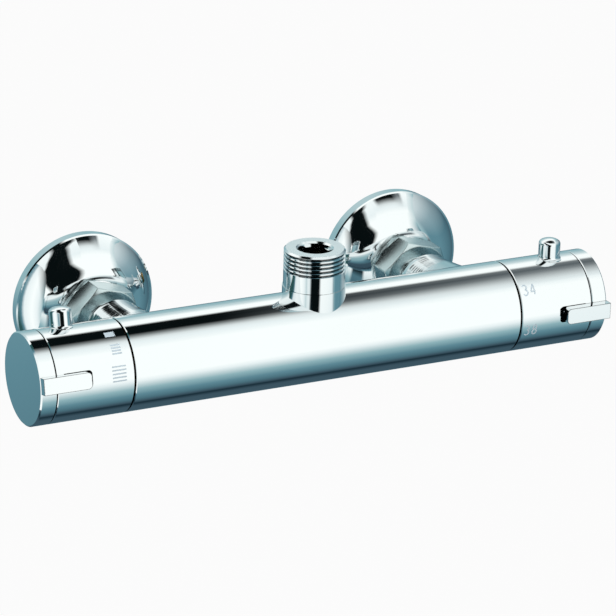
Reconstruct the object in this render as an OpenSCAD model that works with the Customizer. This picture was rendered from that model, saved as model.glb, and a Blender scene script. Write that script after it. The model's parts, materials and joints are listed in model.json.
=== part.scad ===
// Exposed thermostatic shower valve: a chromed bar with a flow knob on its left end, a temperature
// knob on its right end, a threaded outlet on top and two union nuts on wall connectors behind.
// X runs along the bar, +Y points into the wall and +Z up. The origin lies on the finished wall,
// midway between the two wall connectors. Lengths are in millimetres.

/* [Bar] */
// Diameter of the bar and of both knobs
bar_d = 40; // [38:0.5:44]
// Length of the valve body between its two end faces
body_len = 181.6; // [181:0.2:190]
// Distance from the finished wall to the axis of the bar
wall_to_bar = 77; // [76.5:0.5:90]
// Distance between the two inlets
inlet_spacing = 150; // [149:0.5:152]
// Diameter of the cartridge chamber at each end
chamber_d = 30; // [29.8:0.1:30.4]
// Distance from the middle of the bar to the inner end of each chamber
chamber_start = 28; // [26:0.5:29]
// Diameter of the passage between the two chambers
passage_d = 19; // [18.8:0.1:19.2]

/* [Outlet] */
// Outside diameter of the outlet thread, G 3/4
outlet_thread_d = 26.44; // [26:0.01:26.6]
// Pitch of the outlet thread
outlet_pitch = 1.814; // [1.7:0.001:1.9]
// Number of full turns of the outlet thread
outlet_turns = 5; // [4:1:6]
// Height of the outlet boss on the body above the axis of the bar
boss_top = 23; // [22:0.5:25]
// Diameter of the outlet boss on the body
boss_d = 27.2; // [27:0.1:28.5]
// Length of the plain collar under the outlet thread
collar_len = 6.8; // [5:0.1:9]
// Bore of the outlet nipple
outlet_bore_d = 14.6; // [13:0.1:16]

/* [Inlets] */
// Distance from the axis of the bar to the end of each inlet boss
inlet_reach = 39; // [38.5:0.1:40]
// Diameter of the inlet boss at its end
inlet_boss_d = 26.8; // [26.4:0.1:27.4]
// How much wider the boss is in diameter at its foot
inlet_flare = 7.8; // [5:0.1:8]
// Diameter of the neck that the union nut turns on
neck_d = 17.8; // [17.6:0.1:18]
// Distance from the axis of the bar to the sealing end of the neck
neck_end = 53.5; // [53:0.1:54]
// Width across the flats of the union nut
nut_flats = 29; // [28.6:0.1:30]
// Length of the union nut
nut_len = 12; // [11.5:0.1:12.6]
// Diameter of the union thread, G 3/4
union_thread_d = 26.44; // [26.4:0.01:26.5]
// Diameter of the wall thread, G 1/2
wall_thread_d = 20.96; // [20.8:0.01:21.1]
// Pitch of the wall thread
wall_pitch = 1.814; // [1.7:0.001:1.9]
// Length of the wall thread that goes into the wall
wall_thread_len = 20; // [16:1:28]
// Bore of the wall connector
connector_bore_d = 14; // [13:0.5:15]

/* [Wall flange] */
// Diameter of the wall flange
flange_d = 64; // [60:1:70]
// Depth of the straight rim of the wall flange
flange_rim = 5.4; // [4:0.1:7]
// Depth of the whole wall flange
flange_depth = 17.3; // [16.6:0.1:17.5]
// Thickness of the pressed metal of the flange
flange_wall = 1.2; // [1:0.1:1.5]

/* [Knobs] */
// Gap between the body and each knob
knob_gap = 0.8; // [0.5:0.1:1.2]
// Length of each knob shell
knob_len = 34.3; // [33.8:0.1:35]
// Gap between a knob shell and its end cap
cap_gap = 0.4; // [0.2:0.1:0.6]
// Length of the end cap that shows
cap_len = 7.2; // [6.5:0.1:8]
// Wall of the knob shell and of the cap
knob_wall = 2; // [1.8:0.1:2.1]
// Diameter of the lever pin
pin_d = 9.5; // [9:0.1:10.5]
// Height of the lever pin above the bar's surface
pin_height = 8.4; // [7:0.1:10]
// Distance from the body's end face to the lever pin
pin_place = 24; // [23:0.1:25]
// How far the flow knob stands turned back at rest, in degrees
flow_knob_turn = 11.5; // [0:0.5:15]

/* [Slide buttons] */
// Width of the slide button
button_w = 7; // [6:0.1:7.5]
// How far the button stands proud of the knob
button_proud = 3.5; // [3:0.1:4]
// Length of the button's finger pad
pad_len = 21.3; // [20.6:0.1:21.6]
// Travel of the slide button
button_travel = 1.5; // [1:0.1:1.5]

/* [Springs] */
// Curls of each check valve spring
check_curls = 6; // [4:1:8]
// Curls of the cartridge's return spring
return_curls = 4; // [3:1:4]
// Curls of the overtravel spring
overtravel_curls = 3; // [2:1:3]
// Curls of each button spring
button_curls = 4; // [3:1:5]

/* [Hidden] */
$fn = 72;

// Colours
chrome = [0.80, 0.85, 0.87];
brass = [0.78, 0.64, 0.33];
steel = [0.70, 0.72, 0.74];
rubber = [0.08, 0.08, 0.09];
white_plastic = [0.88, 0.88, 0.85];
grey_plastic = [0.35, 0.37, 0.40];
ceramic = [0.93, 0.90, 0.84];
wax_metal = [0.80, 0.45, 0.28];

// Shared clearances
over = 1;              // how far a cut runs past the face that it opens
run_fit = 0.05;        // radial gap of a running fit
slide_fit = 0.08;      // radial gap of a part that slides in a bore
seat_gap = 0.05;       // gap between two faces that bear on each other
button_fit = 0.3;      // gap round a slide button in its slot
land_fit = 0.08;       // radial gap of a cartridge in its chamber
oring_gap = 0.02;      // gap between an O-ring and its groove or bore
edge_break = 0.6;      // chamfer on the outer edge of the caps and bosses
seam_break = 0.3;      // chamfer on the edges of the seams between body and knobs

// Bar and body
bar_r = bar_d / 2;
body_half = body_len / 2;
chamber_r = chamber_d / 2;
passage_r = passage_d / 2;
inlet_x = inlet_spacing / 2;
duct_r = 2.3;          // hot water duct between the chambers
duct_place = 12.6;     // its distance from the axis
duct_angle = -45;      // its direction, from +Y towards +Z
outlet_duct_r = 6.6;   // passage from the bar up into the outlet

// Outlet
outlet_r = outlet_thread_d / 2;
thread_depth = 1.16;   // depth of a G 3/4 or G 1/2 thread
spigot_r = 10.6;       // part of the nipple inside the boss
spigot_len = 8;
nipple_groove_depth = 1.2;
nipple_groove_w = 2.2;
lug_w = 3.2;           // lugs in the bore for the fitting key
lug_len = 1.9;
lug_h = 5;
lug_drop = 1.6;        // how far the lugs lie below the nipple's top
thread_start = boss_top + collar_len;
outlet_thread_len = outlet_turns * outlet_pitch;
nipple_lead = 0.8;     // chamfered lead above the last thread
nipple_top = thread_start + outlet_thread_len + nipple_lead;

// Inlets, measured from the axis of the bar towards the wall
boss_r = inlet_boss_d / 2;
boss_foot = 7.5;       // where the flared boss ends inside the bar
flare_steps = 16;
flare_power = 1.4;
inlet_duct_r = 6.4;
check_bore_r = 7.45;
check_seat = 22;       // shoulder that the check valve stands on
tail_r = 9.8;          // spigot of the inlet tail inside the boss
tail_depth = 9;
tail_in = inlet_reach - tail_depth;
neck_r = neck_d / 2;
neck_flange_r = 11.8;
neck_flange_w = 2.4;
nut_lip = 4.2;         // thickness of the nut's lip
nut_play = 0.3;        // gap between that lip and the neck's flange
nut_start = neck_end - neck_flange_w - nut_play - nut_lip;
nut_end = nut_start + nut_len;
nut_chamfer = 2.2;     // radial depth of the chamfer on the nut's corners
nut_turn = 15;         // how far a corner of the nut stands off the vertical, in degrees
nut_neck_fit = 0.1;    // gap round the neck in the nut's lip
washer_t = 1.5;
washer_r = 12.4;
washer_hole_r = 8;
union_r = union_thread_d / 2;
union_face = neck_end + washer_t;
hex_flats = 24;        // key hexagon of the wall connector
hex_w = 6;
hex_back = 7;          // from that hexagon to the finished wall
hex_end = wall_to_bar - hex_back;
union_thread_end = hex_end - hex_w;
wall_thread_r = wall_thread_d / 2;
connector_r = connector_bore_d / 2;

// Wall flange, measured as the inlets are
flange_r = flange_d / 2;
flange_front = wall_to_bar - flange_depth;
flange_lip_r = 14.6;   // outer radius of the flange's front lip
flange_lip_drop = 0.4; // how far the dome starts behind the lip
flange_bulge = 2.6;    // how far the dome rises over a straight cone
flange_step = 0.7;     // small step between the rim and the dome
flange_taper = 0.4;    // how much the rim narrows towards the wall
flange_foot = 2.2;     // width of the rim that lies on the wall
flange_hole_fit = 0.15;

// Check valve, measured as the inlets are
check_r = check_bore_r - run_fit;
check_wall = 1.5;
check_len = 18;
check_hole_r = 3.6;
check_seat_t = 2;
spider_t = 2;
spider_hole_r = 1.6;
spider_hole_place = 3.9;
poppet_r = 4.9;
poppet_t = 2.2;
stem_r = 1.1;
stem_fit = 0.1;        // gap round the poppet's stem in its guide
stem_out = 1.4;        // how far the stem stays short of the spider's outer face
spider_holes = 3;
check_oring_place = 5; // from the check valve's inner end to its O-ring
check_groove_depth = 0.9;
check_groove_w = 1.3;
strainer_r = 6.6;
strainer_wall = 0.6;
strainer_flange_t = 1.4;
strainer_len = 10;
strainer_rim = 1.2;    // plain rim at both ends of the strainer's slots
strainer_slots = 10;
strainer_slot_w = 1.4;

// Cartridges, measured outwards from the end face of the body, so that inner places are negative
chamber_in = chamber_start - body_half;
housing_r = chamber_r - land_fit;
waist_r = 12.6;
foot_len = 6;
waist_start = chamber_in + foot_len;
housing_bore_r = 11;
nose_len = 8;          // inner end of both housings, inside the passage
housing_nose = chamber_in - nose_len;
nose_r = passage_r - land_fit;
nose_bore_len = 8;     // how far the nose's bore reaches past the chamber's end
nose_bore_end = chamber_in + nose_bore_len;
nose_bore_r = 7.6;
nose_groove_depth = 1.2;
foot_w_x = 3;          // feet that seat a housing on the end of its chamber
foot_count = 3;
foot_angle = 45;
land_margin = 0.9;     // from the inlet passage to the outer sealing land
land_start = inlet_x - body_half + inlet_duct_r + land_margin;
housing_end = -4.4;
mid_land = -42.8;      // sealing land between hot and cold
mid_land_w = 6;
hot_port = -46.2;
cold_port = -32.7;
port_r = 1.5;
port_count = 8;
groove_depth = 1.6;    // O-ring grooves of the housings
groove_w = 2.2;
key_w = 2.4;           // keys that stop the adjusting cup from turning
key_out = 0.9;
key_len = 8;
key_fit = 0.1;
flow_bore_r = 9.6;
flow_web = -28.8;      // web in the flow housing that carries the mixing tube
flow_web_t = 4;
return_hole_r = 1.2;
return_hole_place = 8;
return_hole_count = 8;
tube_r = 6;
tube_wall = 1;
tube_collar_in = 0.6;  // how far the tube's collar lies inside the nose
tube_collar_w = 4.5;
disc_r = 10.8;
disc_fit = 0.03;       // water film between the two ceramic discs
disc_wobble = 0.2;     // how much smaller the moving disc is in radius
seal_t = 2.5;
disc_t = 3;
disc_hole_r = 3.6;
kidney_in = 6.8;
kidney_out = 9.2;
kidney_half = 35;      // half the angle of each kidney slot
recess_w = 5;          // recess in the moving disc
recess_depth = 1.4;
dog_r = 1.25;          // dogs that turn the moving disc
dog_place = 7;
dog_len = 1.2;
dog_fit = 0.05;
drive_flange_r = 9.6;
drive_flange_t = 2.4;
drive_shaft_r = 4.5;

// Bonnets and spindles, measured the same way
bonnet_flats = 29;
bonnet_flange = 5.2;
bonnet_neck_r = 8.2;
bonnet_end = 9.2;
bonnet_spigot_r = housing_bore_r - land_fit;
bonnet_spigot = -8.8;
bonnet_pitch = 1.4;
bonnet_turns = 3;
bonnet_thread_depth = 0.8;
collar_r = 8;
collar_w = 2.2;
cavity_r = 8.3;
spindle_r = 5;
spindle_end = 17.5;
drive_r = 4;
drive_flat = 3.2;      // half width across the flats of the spindle's drive
drive_start = 10.7;
clip_place = 9.5;
clip_t = 0.7;
clip_r = 6.6;
clip_groove_r = 4.2;
clip_gap_w = 5;
spindle_groove = -1.8;
spindle_groove_w = 1.3;
spindle_groove_r = 4.1;
rod_r = 3.9;
rod_start = -18.4;
rod_pitch = 1;
rod_thread_depth = 0.5;
rod_turns = 9;
tap_r = 2;
tap_depth = 9.3;

// Thermostatic works, measured the same way
shuttle_start = -46.2;
shuttle_len = 13;
shuttle_wall = 1.5;
shuttle_web = -40.1;
shuttle_web_t = 2;
web_hole_r = 1.5;
web_hole_place = 7.5;
web_hole_count = 6;
wax_start = -63.8;
wax_r = 4.8;
wax_flange_r = 5.6;
wax_flange_t = 2;
wax_neck_r = 3.5;
wax_neck_end = -36.8;
piston_r = 1.5;
cup_start = -28.8;
cup_end = -12.2;
cup_lip = 1;
cup_lip_r = 6.6;
cup_pocket_r = 7.6;
cup_pocket_end = -19.2;
thrust_r = 7.4;
thrust_t = 1.8;

// Knobs, measured the same way
knob_start = knob_gap;
knob_end = knob_start + knob_len;
knob_bore_r = bar_r - knob_wall;
cap_start = knob_end + cap_gap;
cap_end = cap_start + cap_len;
cap_face_t = 2.5;
cap_spigot = 3;
cap_spigot_wall = 1.5;
web_place = 13.2;      // web inside the knob shell that the insert is pegged to
web_t = 2;
hub_r = 6;
hub_end = 19.2;
insert_flange_r = 14.6;
insert_flange_t = 2.1;
peg_r = 1.5;
peg_place = 10.4;
peg_count = 3;
stop_lug_in = 11.6;    // inner radius of the stop lugs
stop_lug_out = 14.4;
insert_lug_start = 6;
stop_ring_start = 5.5;
stop_ring_t = 3.2;
stop_ring_r = 11.2;
stop_margin = 0.8;     // free angle left at each end of the turn, in degrees
screw_head_r = 4.2;
screw_head_t = 2.7;
screw_r = 1.95;
screw_tip = 9.2;
screw_socket_r = 1.7;
screw_socket_depth = 1.6;
pin_r = pin_d / 2;
pin_spigot_r = 2.5;
pin_spigot_len = 3.4;
pin_foot = 1.2;        // radius of the hollow curve round the pin's foot
pin_foot_sink = 0.5;   // how far the foot's edge lies below the top of the bar
pin_dome = 2.4;
pin_edge = 1.6;        // radius of the round edge of the dome
pin_crown = ((pin_r - pin_edge) ^ 2 + pin_dome ^ 2 - pin_edge ^ 2) / (2 * (pin_dome - pin_edge)); // its crown

// Turning ranges of the knobs and half widths of their stop lugs, in degrees
temperature_cold = 120;
temperature_hot = 180;
flow_open = 90;
insert_lug_half = (360 - temperature_cold - temperature_hot) / 4 - stop_margin / 2;
temperature_stop_half = insert_lug_half;
flow_stop_half = (360 - flow_open) / 2 - insert_lug_half - stop_margin;
insert_lug_angle = 60;
temperature_stop_angle = insert_lug_angle + temperature_cold + (360 - temperature_cold - temperature_hot) / 2;
flow_stop_angle = insert_lug_angle - flow_knob_turn + (360 - flow_open) / 2;
disc_turn = 90 - flow_knob_turn;

// Slide buttons, measured outwards along X and outwards from the bar's axis
pad_in = 0.1;          // how far the pad stays short of the cap's end
pad_end = cap_end - pad_in;
pad_start = pad_end - pad_len;
slot_spare = 0.2;      // free length of the slot beyond the button's travel
slot_rim = 0.4;        // from the slot to the cap's spigot
slot_side = 0.2;       // gap above and below the button's pad
slot_round = 1.6;      // radius of the slot's inner corners
slot_start = pad_start - button_travel - slot_spare;
slot_end = cap_start - cap_spigot - slot_rim;
slot_half = button_w / 2 + slot_side;
pad_top = bar_r + button_proud;
pad_floor = bar_r + button_fit / 2;
pad_round = 1.8;
pad_side_drop = 1;     // how far the pad's sides come down over the curve of the knob
neck_short = 0.5;      // how far the neck stays short of the slot's outer end
button_neck_end = slot_end - neck_short;
foot_play = 1;         // gap between the button's foot and the inside of the knob
foot_h = 3.4;
foot_over = 1.3;       // how far the foot reaches past each side of the slot
foot_in = 0.5;         // how far the foot stays inside both ends of the neck
foot_top = knob_bore_r - foot_play;
foot_bottom = foot_top - foot_h;
foot_w = 2 * (slot_half + foot_over);
foot_start = pad_start + foot_in;
foot_end = button_neck_end - foot_in;
button_spring_r = 1.5;
button_spring_wire = 0.28;
button_spring_place = (foot_top + foot_bottom) / 2;

// Springs
check_spring_r = 3.2;
check_spring_wire = 0.35;
return_spring_r = 10;
return_spring_wire = 0.5;
overtravel_spring_r = 5.9;
overtravel_spring_wire = 0.45;
spring_rings = 8;
spring_sides = 6;

// Places a part that is drawn round the axis of the bar
module on_bar() { translate([0, -wall_to_bar, 0]) children(); }

// Cylinder, ring and revolved outline along +X, starting at x0
module rod_x(x0, x1, r) { translate([x0, 0, 0]) rotate([0, 90, 0]) cylinder(h = x1 - x0, r = r); }
module ring_x(x0, x1, r, hole) {
    difference() {
        rod_x(x0, x1, r);
        rod_x(x0 - over, x1 + over, hole);
    }
}
module turned_x(outline) {
    rotate([0, 90, 0]) rotate([0, 0, 180]) rotate_extrude() polygon(outline);
}

// The same along +Y and +Z, starting at the axis of the bar
module rod_y(y0, y1, r) { translate([0, y0, 0]) rotate([-90, 0, 0]) cylinder(h = y1 - y0, r = r); }
module ring_y(y0, y1, r, hole) {
    difference() {
        rod_y(y0, y1, r);
        rod_y(y0 - over, y1 + over, hole);
    }
}
module turned_y(outline) { rotate([-90, 0, 0]) rotate_extrude() polygon(outline); }
module rod_z(z0, z1, r) { translate([0, 0, z0]) cylinder(h = z1 - z0, r = r); }

// Places a part of one end, drawn outwards from the end face of the body
module on_right() { on_bar() translate([body_half, 0, 0]) children(); }
module on_left() { on_bar() mirror([1, 0, 0]) translate([body_half, 0, 0]) children(); }

// Places a part of one inlet: -1 is the hot one on the left, 1 the cold one on the right
module at_inlet(side) { on_bar() translate([side * inlet_x, 0, 0]) children(); }

// Copies of a part round X, and round Y
module round_x(count, radius, start = 0) {
    for (i = [0:count - 1])
        rotate([start + i * 360 / count, 0, 0]) translate([0, radius, 0]) children();
}
module round_y(count, radius, start = 0) {
    for (i = [0:count - 1])
        rotate([0, start + i * 360 / count, 0]) translate([radius, 0, 0]) children();
}

// Block given by its lowest and highest corner
module block(low, high) { translate(low) cube(high - low); }

// Hexagonal bar along X, given by the width across its flats
module hex_x(x0, x1, flats) {
    translate([x0, 0, 0]) rotate([0, 90, 0]) cylinder(h = x1 - x0, r = flats / 2 / cos(30), $fn = 6);
}
module hex_y(y0, y1, flats, turn = 0) {
    translate([0, y0, 0]) rotate([-90, 0, 0]) rotate([0, 0, turn])
        cylinder(h = y1 - y0, r = flats / 2 / cos(30), $fn = 6);
}

// Slice of a circle along X, centred on an angle from +Y towards +Z
module wedge_x(x0, x1, reach, centre, half) {
    steps = ceil(half / 15);
    corners = [for (i = [-steps:steps]) let (a = centre + half * i / steps) 2 * reach * [cos(a), sin(a)]];
    translate([x0, 0, 0]) rotate([90, 0, 90]) linear_extrude(x1 - x0) polygon(concat([[0, 0]], corners));
}

// O-ring round X at x0, between the root of its groove and the bore round it
module oring_x(x0, root, bore) {
    translate([x0, 0, 0]) rotate([0, 90, 0]) oring_ring(root, bore);
}
module oring_ring(root, bore) {
    rotate_extrude() translate([(root + bore) / 2, 0]) circle((bore - root) / 2 - oring_gap);
}

// Points of a thread's outline: ring grooves with flat crests
crest_share = 0.3;
flank_share = 0.3;
root_share = 0.1;
function thread_points(r, depth, start, pitch, turns) = [
    for (i = [0:turns - 1]) each [
        [r, start + i * pitch],
        [r, start + (i + crest_share) * pitch],
        [r - depth, start + (i + crest_share + flank_share) * pitch],
        [r - depth, start + (i + crest_share + flank_share + root_share) * pitch]]];

// Springs: one unbroken round wire along +Z, with a straight end on each seat
function turn_pose(r, wire, len, curls, i, last) =
    let (lead = 2 * wire, rise = len - 4 * wire, s = (i - 2) / (last - 4),
         a = i < 2 ? 0 : i > last - 2 ? 360 * curls : 360 * curls * s,
         climb = i < 2 ? i * lead / 2 : i > last - 2 ? len - (last - i) * lead / 2 : lead + rise * s)
    [r * cos(a), r * sin(a), climb, a];
function wire_path(r, wire, len, curls) =
    let (last = spring_rings * curls + 4)
    [for (i = [0:last]) turn_pose(r, wire, len, curls, i, last)];
function step_dir(path, i) =
    let (a = path[max(i - 1, 0)], b = path[min(i + 1, len(path) - 1)],
         d = [b[0] - a[0], b[1] - a[1], b[2] - a[2]])
    d / norm(d);
function wire_ring(path, i, wire) =
    let (p = path[i], t = step_dir(path, i),
         ends = i == 0 || i == len(path) - 1,
         dir = ends ? [0, 0, 1] : t,
         out = [cos(p[3]), sin(p[3]), 0],
         side_raw = cross(dir, out), side = side_raw / norm(side_raw),
         outward = cross(side, dir))
    [for (k = [0:spring_sides - 1])
        let (turn = k * 360 / spring_sides)
        [p[0], p[1], p[2]] + wire * (cos(turn) * outward + sin(turn) * side)];
function least_gap(path, wire) =
    min([for (i = [0:len(path) - 1]) for (j = [i + spring_rings / 2:1:len(path) - 1])
        norm([path[i][0] - path[j][0], path[i][1] - path[j][1], path[i][2] - path[j][2]])]) - 2 * wire;
module wire_spring(r, wire, len, curls, name) {
    path = wire_path(r, wire, len, curls);
    rings = [for (i = [0:len(path) - 1]) wire_ring(path, i, wire)];
    points = [for (ring = rings) each ring];
    n = spring_sides;
    last = (len(path) - 1) * n;
    sides = [for (i = [0:len(path) - 2]) for (k = [0:n - 1])
        let (a = i * n + k, b = i * n + (k + 1) % n) each [[a, b + n, b], [a, a + n, b + n]]];
    caps = [for (k = [1:n - 2]) each [[0, k, k + 1], [last, last + k + 1, last + k]]];
    echo(str(name, ": least gap between curls ", least_gap(path, wire), " mm"));
    polyhedron(points, concat(sides, caps), convexity = 10);
}

// Body with its chambers, outlet boss and two inlet bosses
function flare_points() = [
    for (i = [0:flare_steps])
        let (s = i / flare_steps, y = inlet_reach - edge_break - s * (inlet_reach - edge_break - boss_foot))
        [boss_r + inlet_flare / 2 * pow(s, flare_power), y]];
module inlet_boss() {
    turned_y(concat([[0, boss_foot], [0, inlet_reach], [boss_r - edge_break, inlet_reach]], flare_points()));
}
module inlet_bosses() {
    intersection() {
        for (side = [-1, 1]) translate([side * inlet_x, 0, 0]) inlet_boss();
        block([-body_half, 0, -bar_r], [body_half, inlet_reach + over, bar_r]);
    }
}
module inlet_cuts() {
    rod_y(0, check_seat + over, inlet_duct_r);
    rod_y(check_seat, inlet_reach + over, check_bore_r);
    rod_y(tail_in, inlet_reach + over, tail_r + run_fit);
}
module valve_body() {
    outline = [[0, -body_half], [bar_r - seam_break, -body_half], [bar_r, seam_break - body_half],
        [bar_r, body_half - seam_break], [bar_r - seam_break, body_half], [0, body_half]];
    color(chrome) on_bar() difference() {
        union() {
            turned_x(outline);
            rod_z(0, boss_top, boss_d / 2);
            inlet_bosses();
        }
        rod_x(chamber_start, body_half + over, chamber_r);
        rod_x(-body_half - over, -chamber_start, chamber_r);
        for (side = [-1, 1]) translate([side * inlet_x, 0, 0]) inlet_cuts();
        rod_x(-chamber_start - over, chamber_start + over, passage_r);
        rotate([duct_angle, 0, 0]) translate([0, duct_place, 0])
            rod_x(-chamber_start - over, chamber_start + over, duct_r);
        rod_z(0, boss_top + over, outlet_duct_r);
        rod_z(boss_top - spigot_len - seat_gap, boss_top + over, spigot_r + run_fit);
    }
}

// Outlet nipple with its thread, sealing groove and key lugs
module outlet_nipple() {
    bore = outlet_bore_d / 2;
    foot = boss_top - spigot_len;
    groove = foot + spigot_len / 2;
    crest_end = nipple_top - nipple_lead;
    outline = concat(
        [[bore, foot], [spigot_r, foot], [spigot_r, groove - nipple_groove_w / 2],
         [spigot_r - nipple_groove_depth, groove - nipple_groove_w / 2],
         [spigot_r - nipple_groove_depth, groove + nipple_groove_w / 2],
         [spigot_r, groove + nipple_groove_w / 2], [spigot_r, boss_top + seat_gap],
         [outlet_r, boss_top + seat_gap]],
        thread_points(outlet_r, thread_depth, thread_start, outlet_pitch, outlet_turns),
        [[outlet_r, crest_end], [outlet_r - nipple_lead, nipple_top],
         [bore + nipple_lead, nipple_top], [bore, nipple_top - nipple_lead]]);
    lug_top = nipple_top - lug_drop;
    color(chrome) on_bar() {
        rotate_extrude() polygon(outline);
        for (i = [0:3]) rotate([0, 0, 90 * i]) intersection() {
            block([bore - lug_len, -lug_w / 2, lug_top - lug_h], [bore + lug_len, lug_w / 2, lug_top]);
            rod_z(lug_top - lug_h, lug_top, bore + lug_len / 2);
        }
    }
}
module outlet_oring() {
    color(rubber) on_bar() translate([0, 0, boss_top - spigot_len / 2])
        oring_ring(spigot_r - nipple_groove_depth, spigot_r + run_fit);
}

// Tube that carries mixed water from the thermostatic cartridge to the flow cartridge
module mixing_tube() {
    left = -body_half - flow_web - flow_web_t;
    right = chamber_start - nose_len + tube_collar_in + tube_collar_w;
    color(white_plastic) on_bar() difference() {
        union() {
            rod_x(left + seat_gap, right, tube_r);
            rod_x(right - tube_collar_w, right, nose_bore_r - run_fit);
        }
        rod_x(left - over, right + over, tube_r - tube_wall);
    }
}

// Housings of the two cartridges and their O-rings
module oring_groove(x0, r, depth) {
    ring_x(x0 - groove_w / 2, x0 + groove_w / 2, r + over, r - depth);
}
nose_groove = (housing_nose + chamber_in) / 2;
mid_groove = mid_land + mid_land_w / 2;
land_groove = (land_start + housing_end) / 2;
module housing_blank() {
    rod_x(housing_nose, waist_start + over, nose_r);
    rod_x(waist_start, housing_end, waist_r);
    rod_x(land_start, housing_end, housing_r);
    for (i = [0:foot_count - 1]) rotate([foot_angle + i * 360 / foot_count, 0, 0])
        block([chamber_in + seat_gap, nose_bore_r + nose_groove_depth / 2, -foot_w_x / 2],
            [waist_start + over, waist_r - over, foot_w_x / 2]);
}
module thermo_housing() {
    color(grey_plastic) on_right() difference() {
        union() {
            housing_blank();
            rod_x(mid_land, mid_land + mid_land_w, housing_r);
        }
        rod_x(housing_nose - over, nose_bore_end + over, nose_bore_r);
        rod_x(nose_bore_end, housing_end + over, housing_bore_r);
        oring_groove(nose_groove, nose_r, nose_groove_depth);
        oring_groove(mid_groove, housing_r, groove_depth);
        oring_groove(land_groove, housing_r, groove_depth);
        for (place = [hot_port, cold_port])
            translate([place, 0, 0]) for (i = [0:port_count / 2 - 1])
                rotate([i * 360 / port_count, 0, 0]) rod_z(-housing_r - over, housing_r + over, port_r);
        key_bars(cup_start, housing_end + over, key_fit);
    }
}
module thermo_housing_orings() {
    color(rubber) on_right() {
        oring_x(nose_groove, nose_r - nose_groove_depth, passage_r);
        oring_x(mid_groove, housing_r - groove_depth, chamber_r);
        oring_x(land_groove, housing_r - groove_depth, chamber_r);
    }
}
module flow_housing() {
    color(grey_plastic) on_left() difference() {
        housing_blank();
        rod_x(housing_nose - over, nose_bore_end + over, nose_bore_r);
        rod_x(nose_bore_end, flow_web, flow_bore_r);
        rod_x(flow_web - over, flow_web + flow_web_t + over, tube_r + run_fit);
        rod_x(flow_web + flow_web_t, housing_end + over, housing_bore_r);
        round_x(return_hole_count, return_hole_place)
            rod_x(flow_web - over, flow_web + flow_web_t + over, return_hole_r);
        oring_groove(nose_groove, nose_r, nose_groove_depth);
        oring_groove(land_groove, housing_r, groove_depth);
    }
}
module flow_housing_orings() {
    color(rubber) on_left() {
        oring_x(nose_groove, nose_r - nose_groove_depth, passage_r);
        oring_x(land_groove, housing_r - groove_depth, chamber_r);
    }
}

// Two opposite bars that key the adjusting cup to its housing
module key_bars(x0, x1, gap) {
    for (up = [0, 180]) rotate([up, 0, 0])
        block([x0, -key_w / 2 - gap, housing_bore_r - over],
            [x1, key_w / 2 + gap, housing_bore_r + key_out + gap]);
}

// Bonnet that closes a chamber, with its spindle's bore
module bonnet() {
    thread_r = chamber_r - land_fit;
    thread_x = housing_end + seat_gap;
    thread_end = seat_gap;
    outline = concat([[bonnet_neck_r, thread_x]],
        thread_points(thread_r, bonnet_thread_depth, thread_x, bonnet_pitch, bonnet_turns),
        [[thread_r, thread_x + bonnet_turns * bonnet_pitch], [thread_r, thread_end],
            [bonnet_neck_r, thread_end]]);
    color(brass) difference() {
        union() {
            rod_x(bonnet_spigot, bonnet_end, bonnet_neck_r);
            ring_x(bonnet_spigot, thread_x, bonnet_spigot_r, cavity_r);
            rod_x(bonnet_spigot + collar_w + over, thread_x + over, bonnet_spigot_r);
            turned_x(outline);
            hex_x(thread_end, thread_end + bonnet_flange, bonnet_flats);
        }
        rod_x(bonnet_spigot - over, bonnet_end + over, spindle_r + run_fit);
        rod_x(bonnet_spigot - over, bonnet_spigot + collar_w + seat_gap + seat_gap, cavity_r);
    }
}
module thermo_bonnet() { on_right() bonnet(); }
module flow_bonnet() { on_left() bonnet(); }

// Stop ring on the bonnet's neck, with the fixed lug that limits the turn
module stop_ring(centre, half) {
    color(grey_plastic) {
        ring_x(stop_ring_start, stop_ring_start + stop_ring_t, stop_ring_r, bonnet_neck_r + run_fit);
        intersection() {
            ring_x(stop_ring_start, stop_ring_start + stop_ring_t, stop_lug_out, stop_ring_r - over);
            wedge_x(stop_ring_start, stop_ring_start + stop_ring_t, stop_lug_out, centre, half);
        }
    }
}
module temperature_stop_ring() { on_right() stop_ring(temperature_stop_angle, temperature_stop_half); }
module flow_stop_ring() { on_left() stop_ring(flow_stop_angle, flow_stop_half); }

// Outer part of a spindle: collar, sealed shaft, clip groove and flatted drive
module spindle_shaft() {
    collar_start = bonnet_spigot + seat_gap;
    difference() {
        union() {
            rod_x(collar_start, collar_start + collar_w, collar_r);
            rod_x(collar_start, drive_start, spindle_r);
            intersection() {
                rod_x(drive_start - over, spindle_end, drive_r);
                block([drive_start - over, -drive_flat, -drive_r - over],
                    [spindle_end, drive_flat, drive_r + over]);
            }
        }
        ring_x(spindle_groove - spindle_groove_w / 2, spindle_groove + spindle_groove_w / 2,
            spindle_r + over, spindle_groove_r);
        ring_x(clip_place, clip_place + clip_t + seat_gap + seat_gap, spindle_r + over, clip_groove_r);
        rod_x(spindle_end - tap_depth, spindle_end + over, tap_r);
    }
}
module temperature_spindle() {
    rod_end = rod_start + rod_turns * rod_pitch;
    outline = concat([[0, rod_start]],
        thread_points(rod_r, rod_thread_depth, rod_start, rod_pitch, rod_turns),
        [[rod_r, rod_end], [rod_r, bonnet_spigot + collar_w], [0, bonnet_spigot + collar_w]]);
    color(brass) on_right() {
        spindle_shaft();
        turned_x(outline);
    }
}
module flow_spindle() {
    plate = flow_web + flow_web_t + seal_t + disc_t + disc_fit + disc_t + seat_gap;
    color(brass) on_left() {
        rotate([-flow_knob_turn, 0, 0]) spindle_shaft();
        rod_x(plate, plate + drive_flange_t, drive_flange_r);
        rod_x(plate, bonnet_spigot + collar_w, drive_shaft_r);
        round_x(2, dog_place, disc_turn + 90) rod_x(plate - dog_len, plate + over, dog_r);
    }
}
module spindle_oring() { color(rubber) oring_x(spindle_groove, spindle_groove_r, spindle_r + run_fit); }
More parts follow.
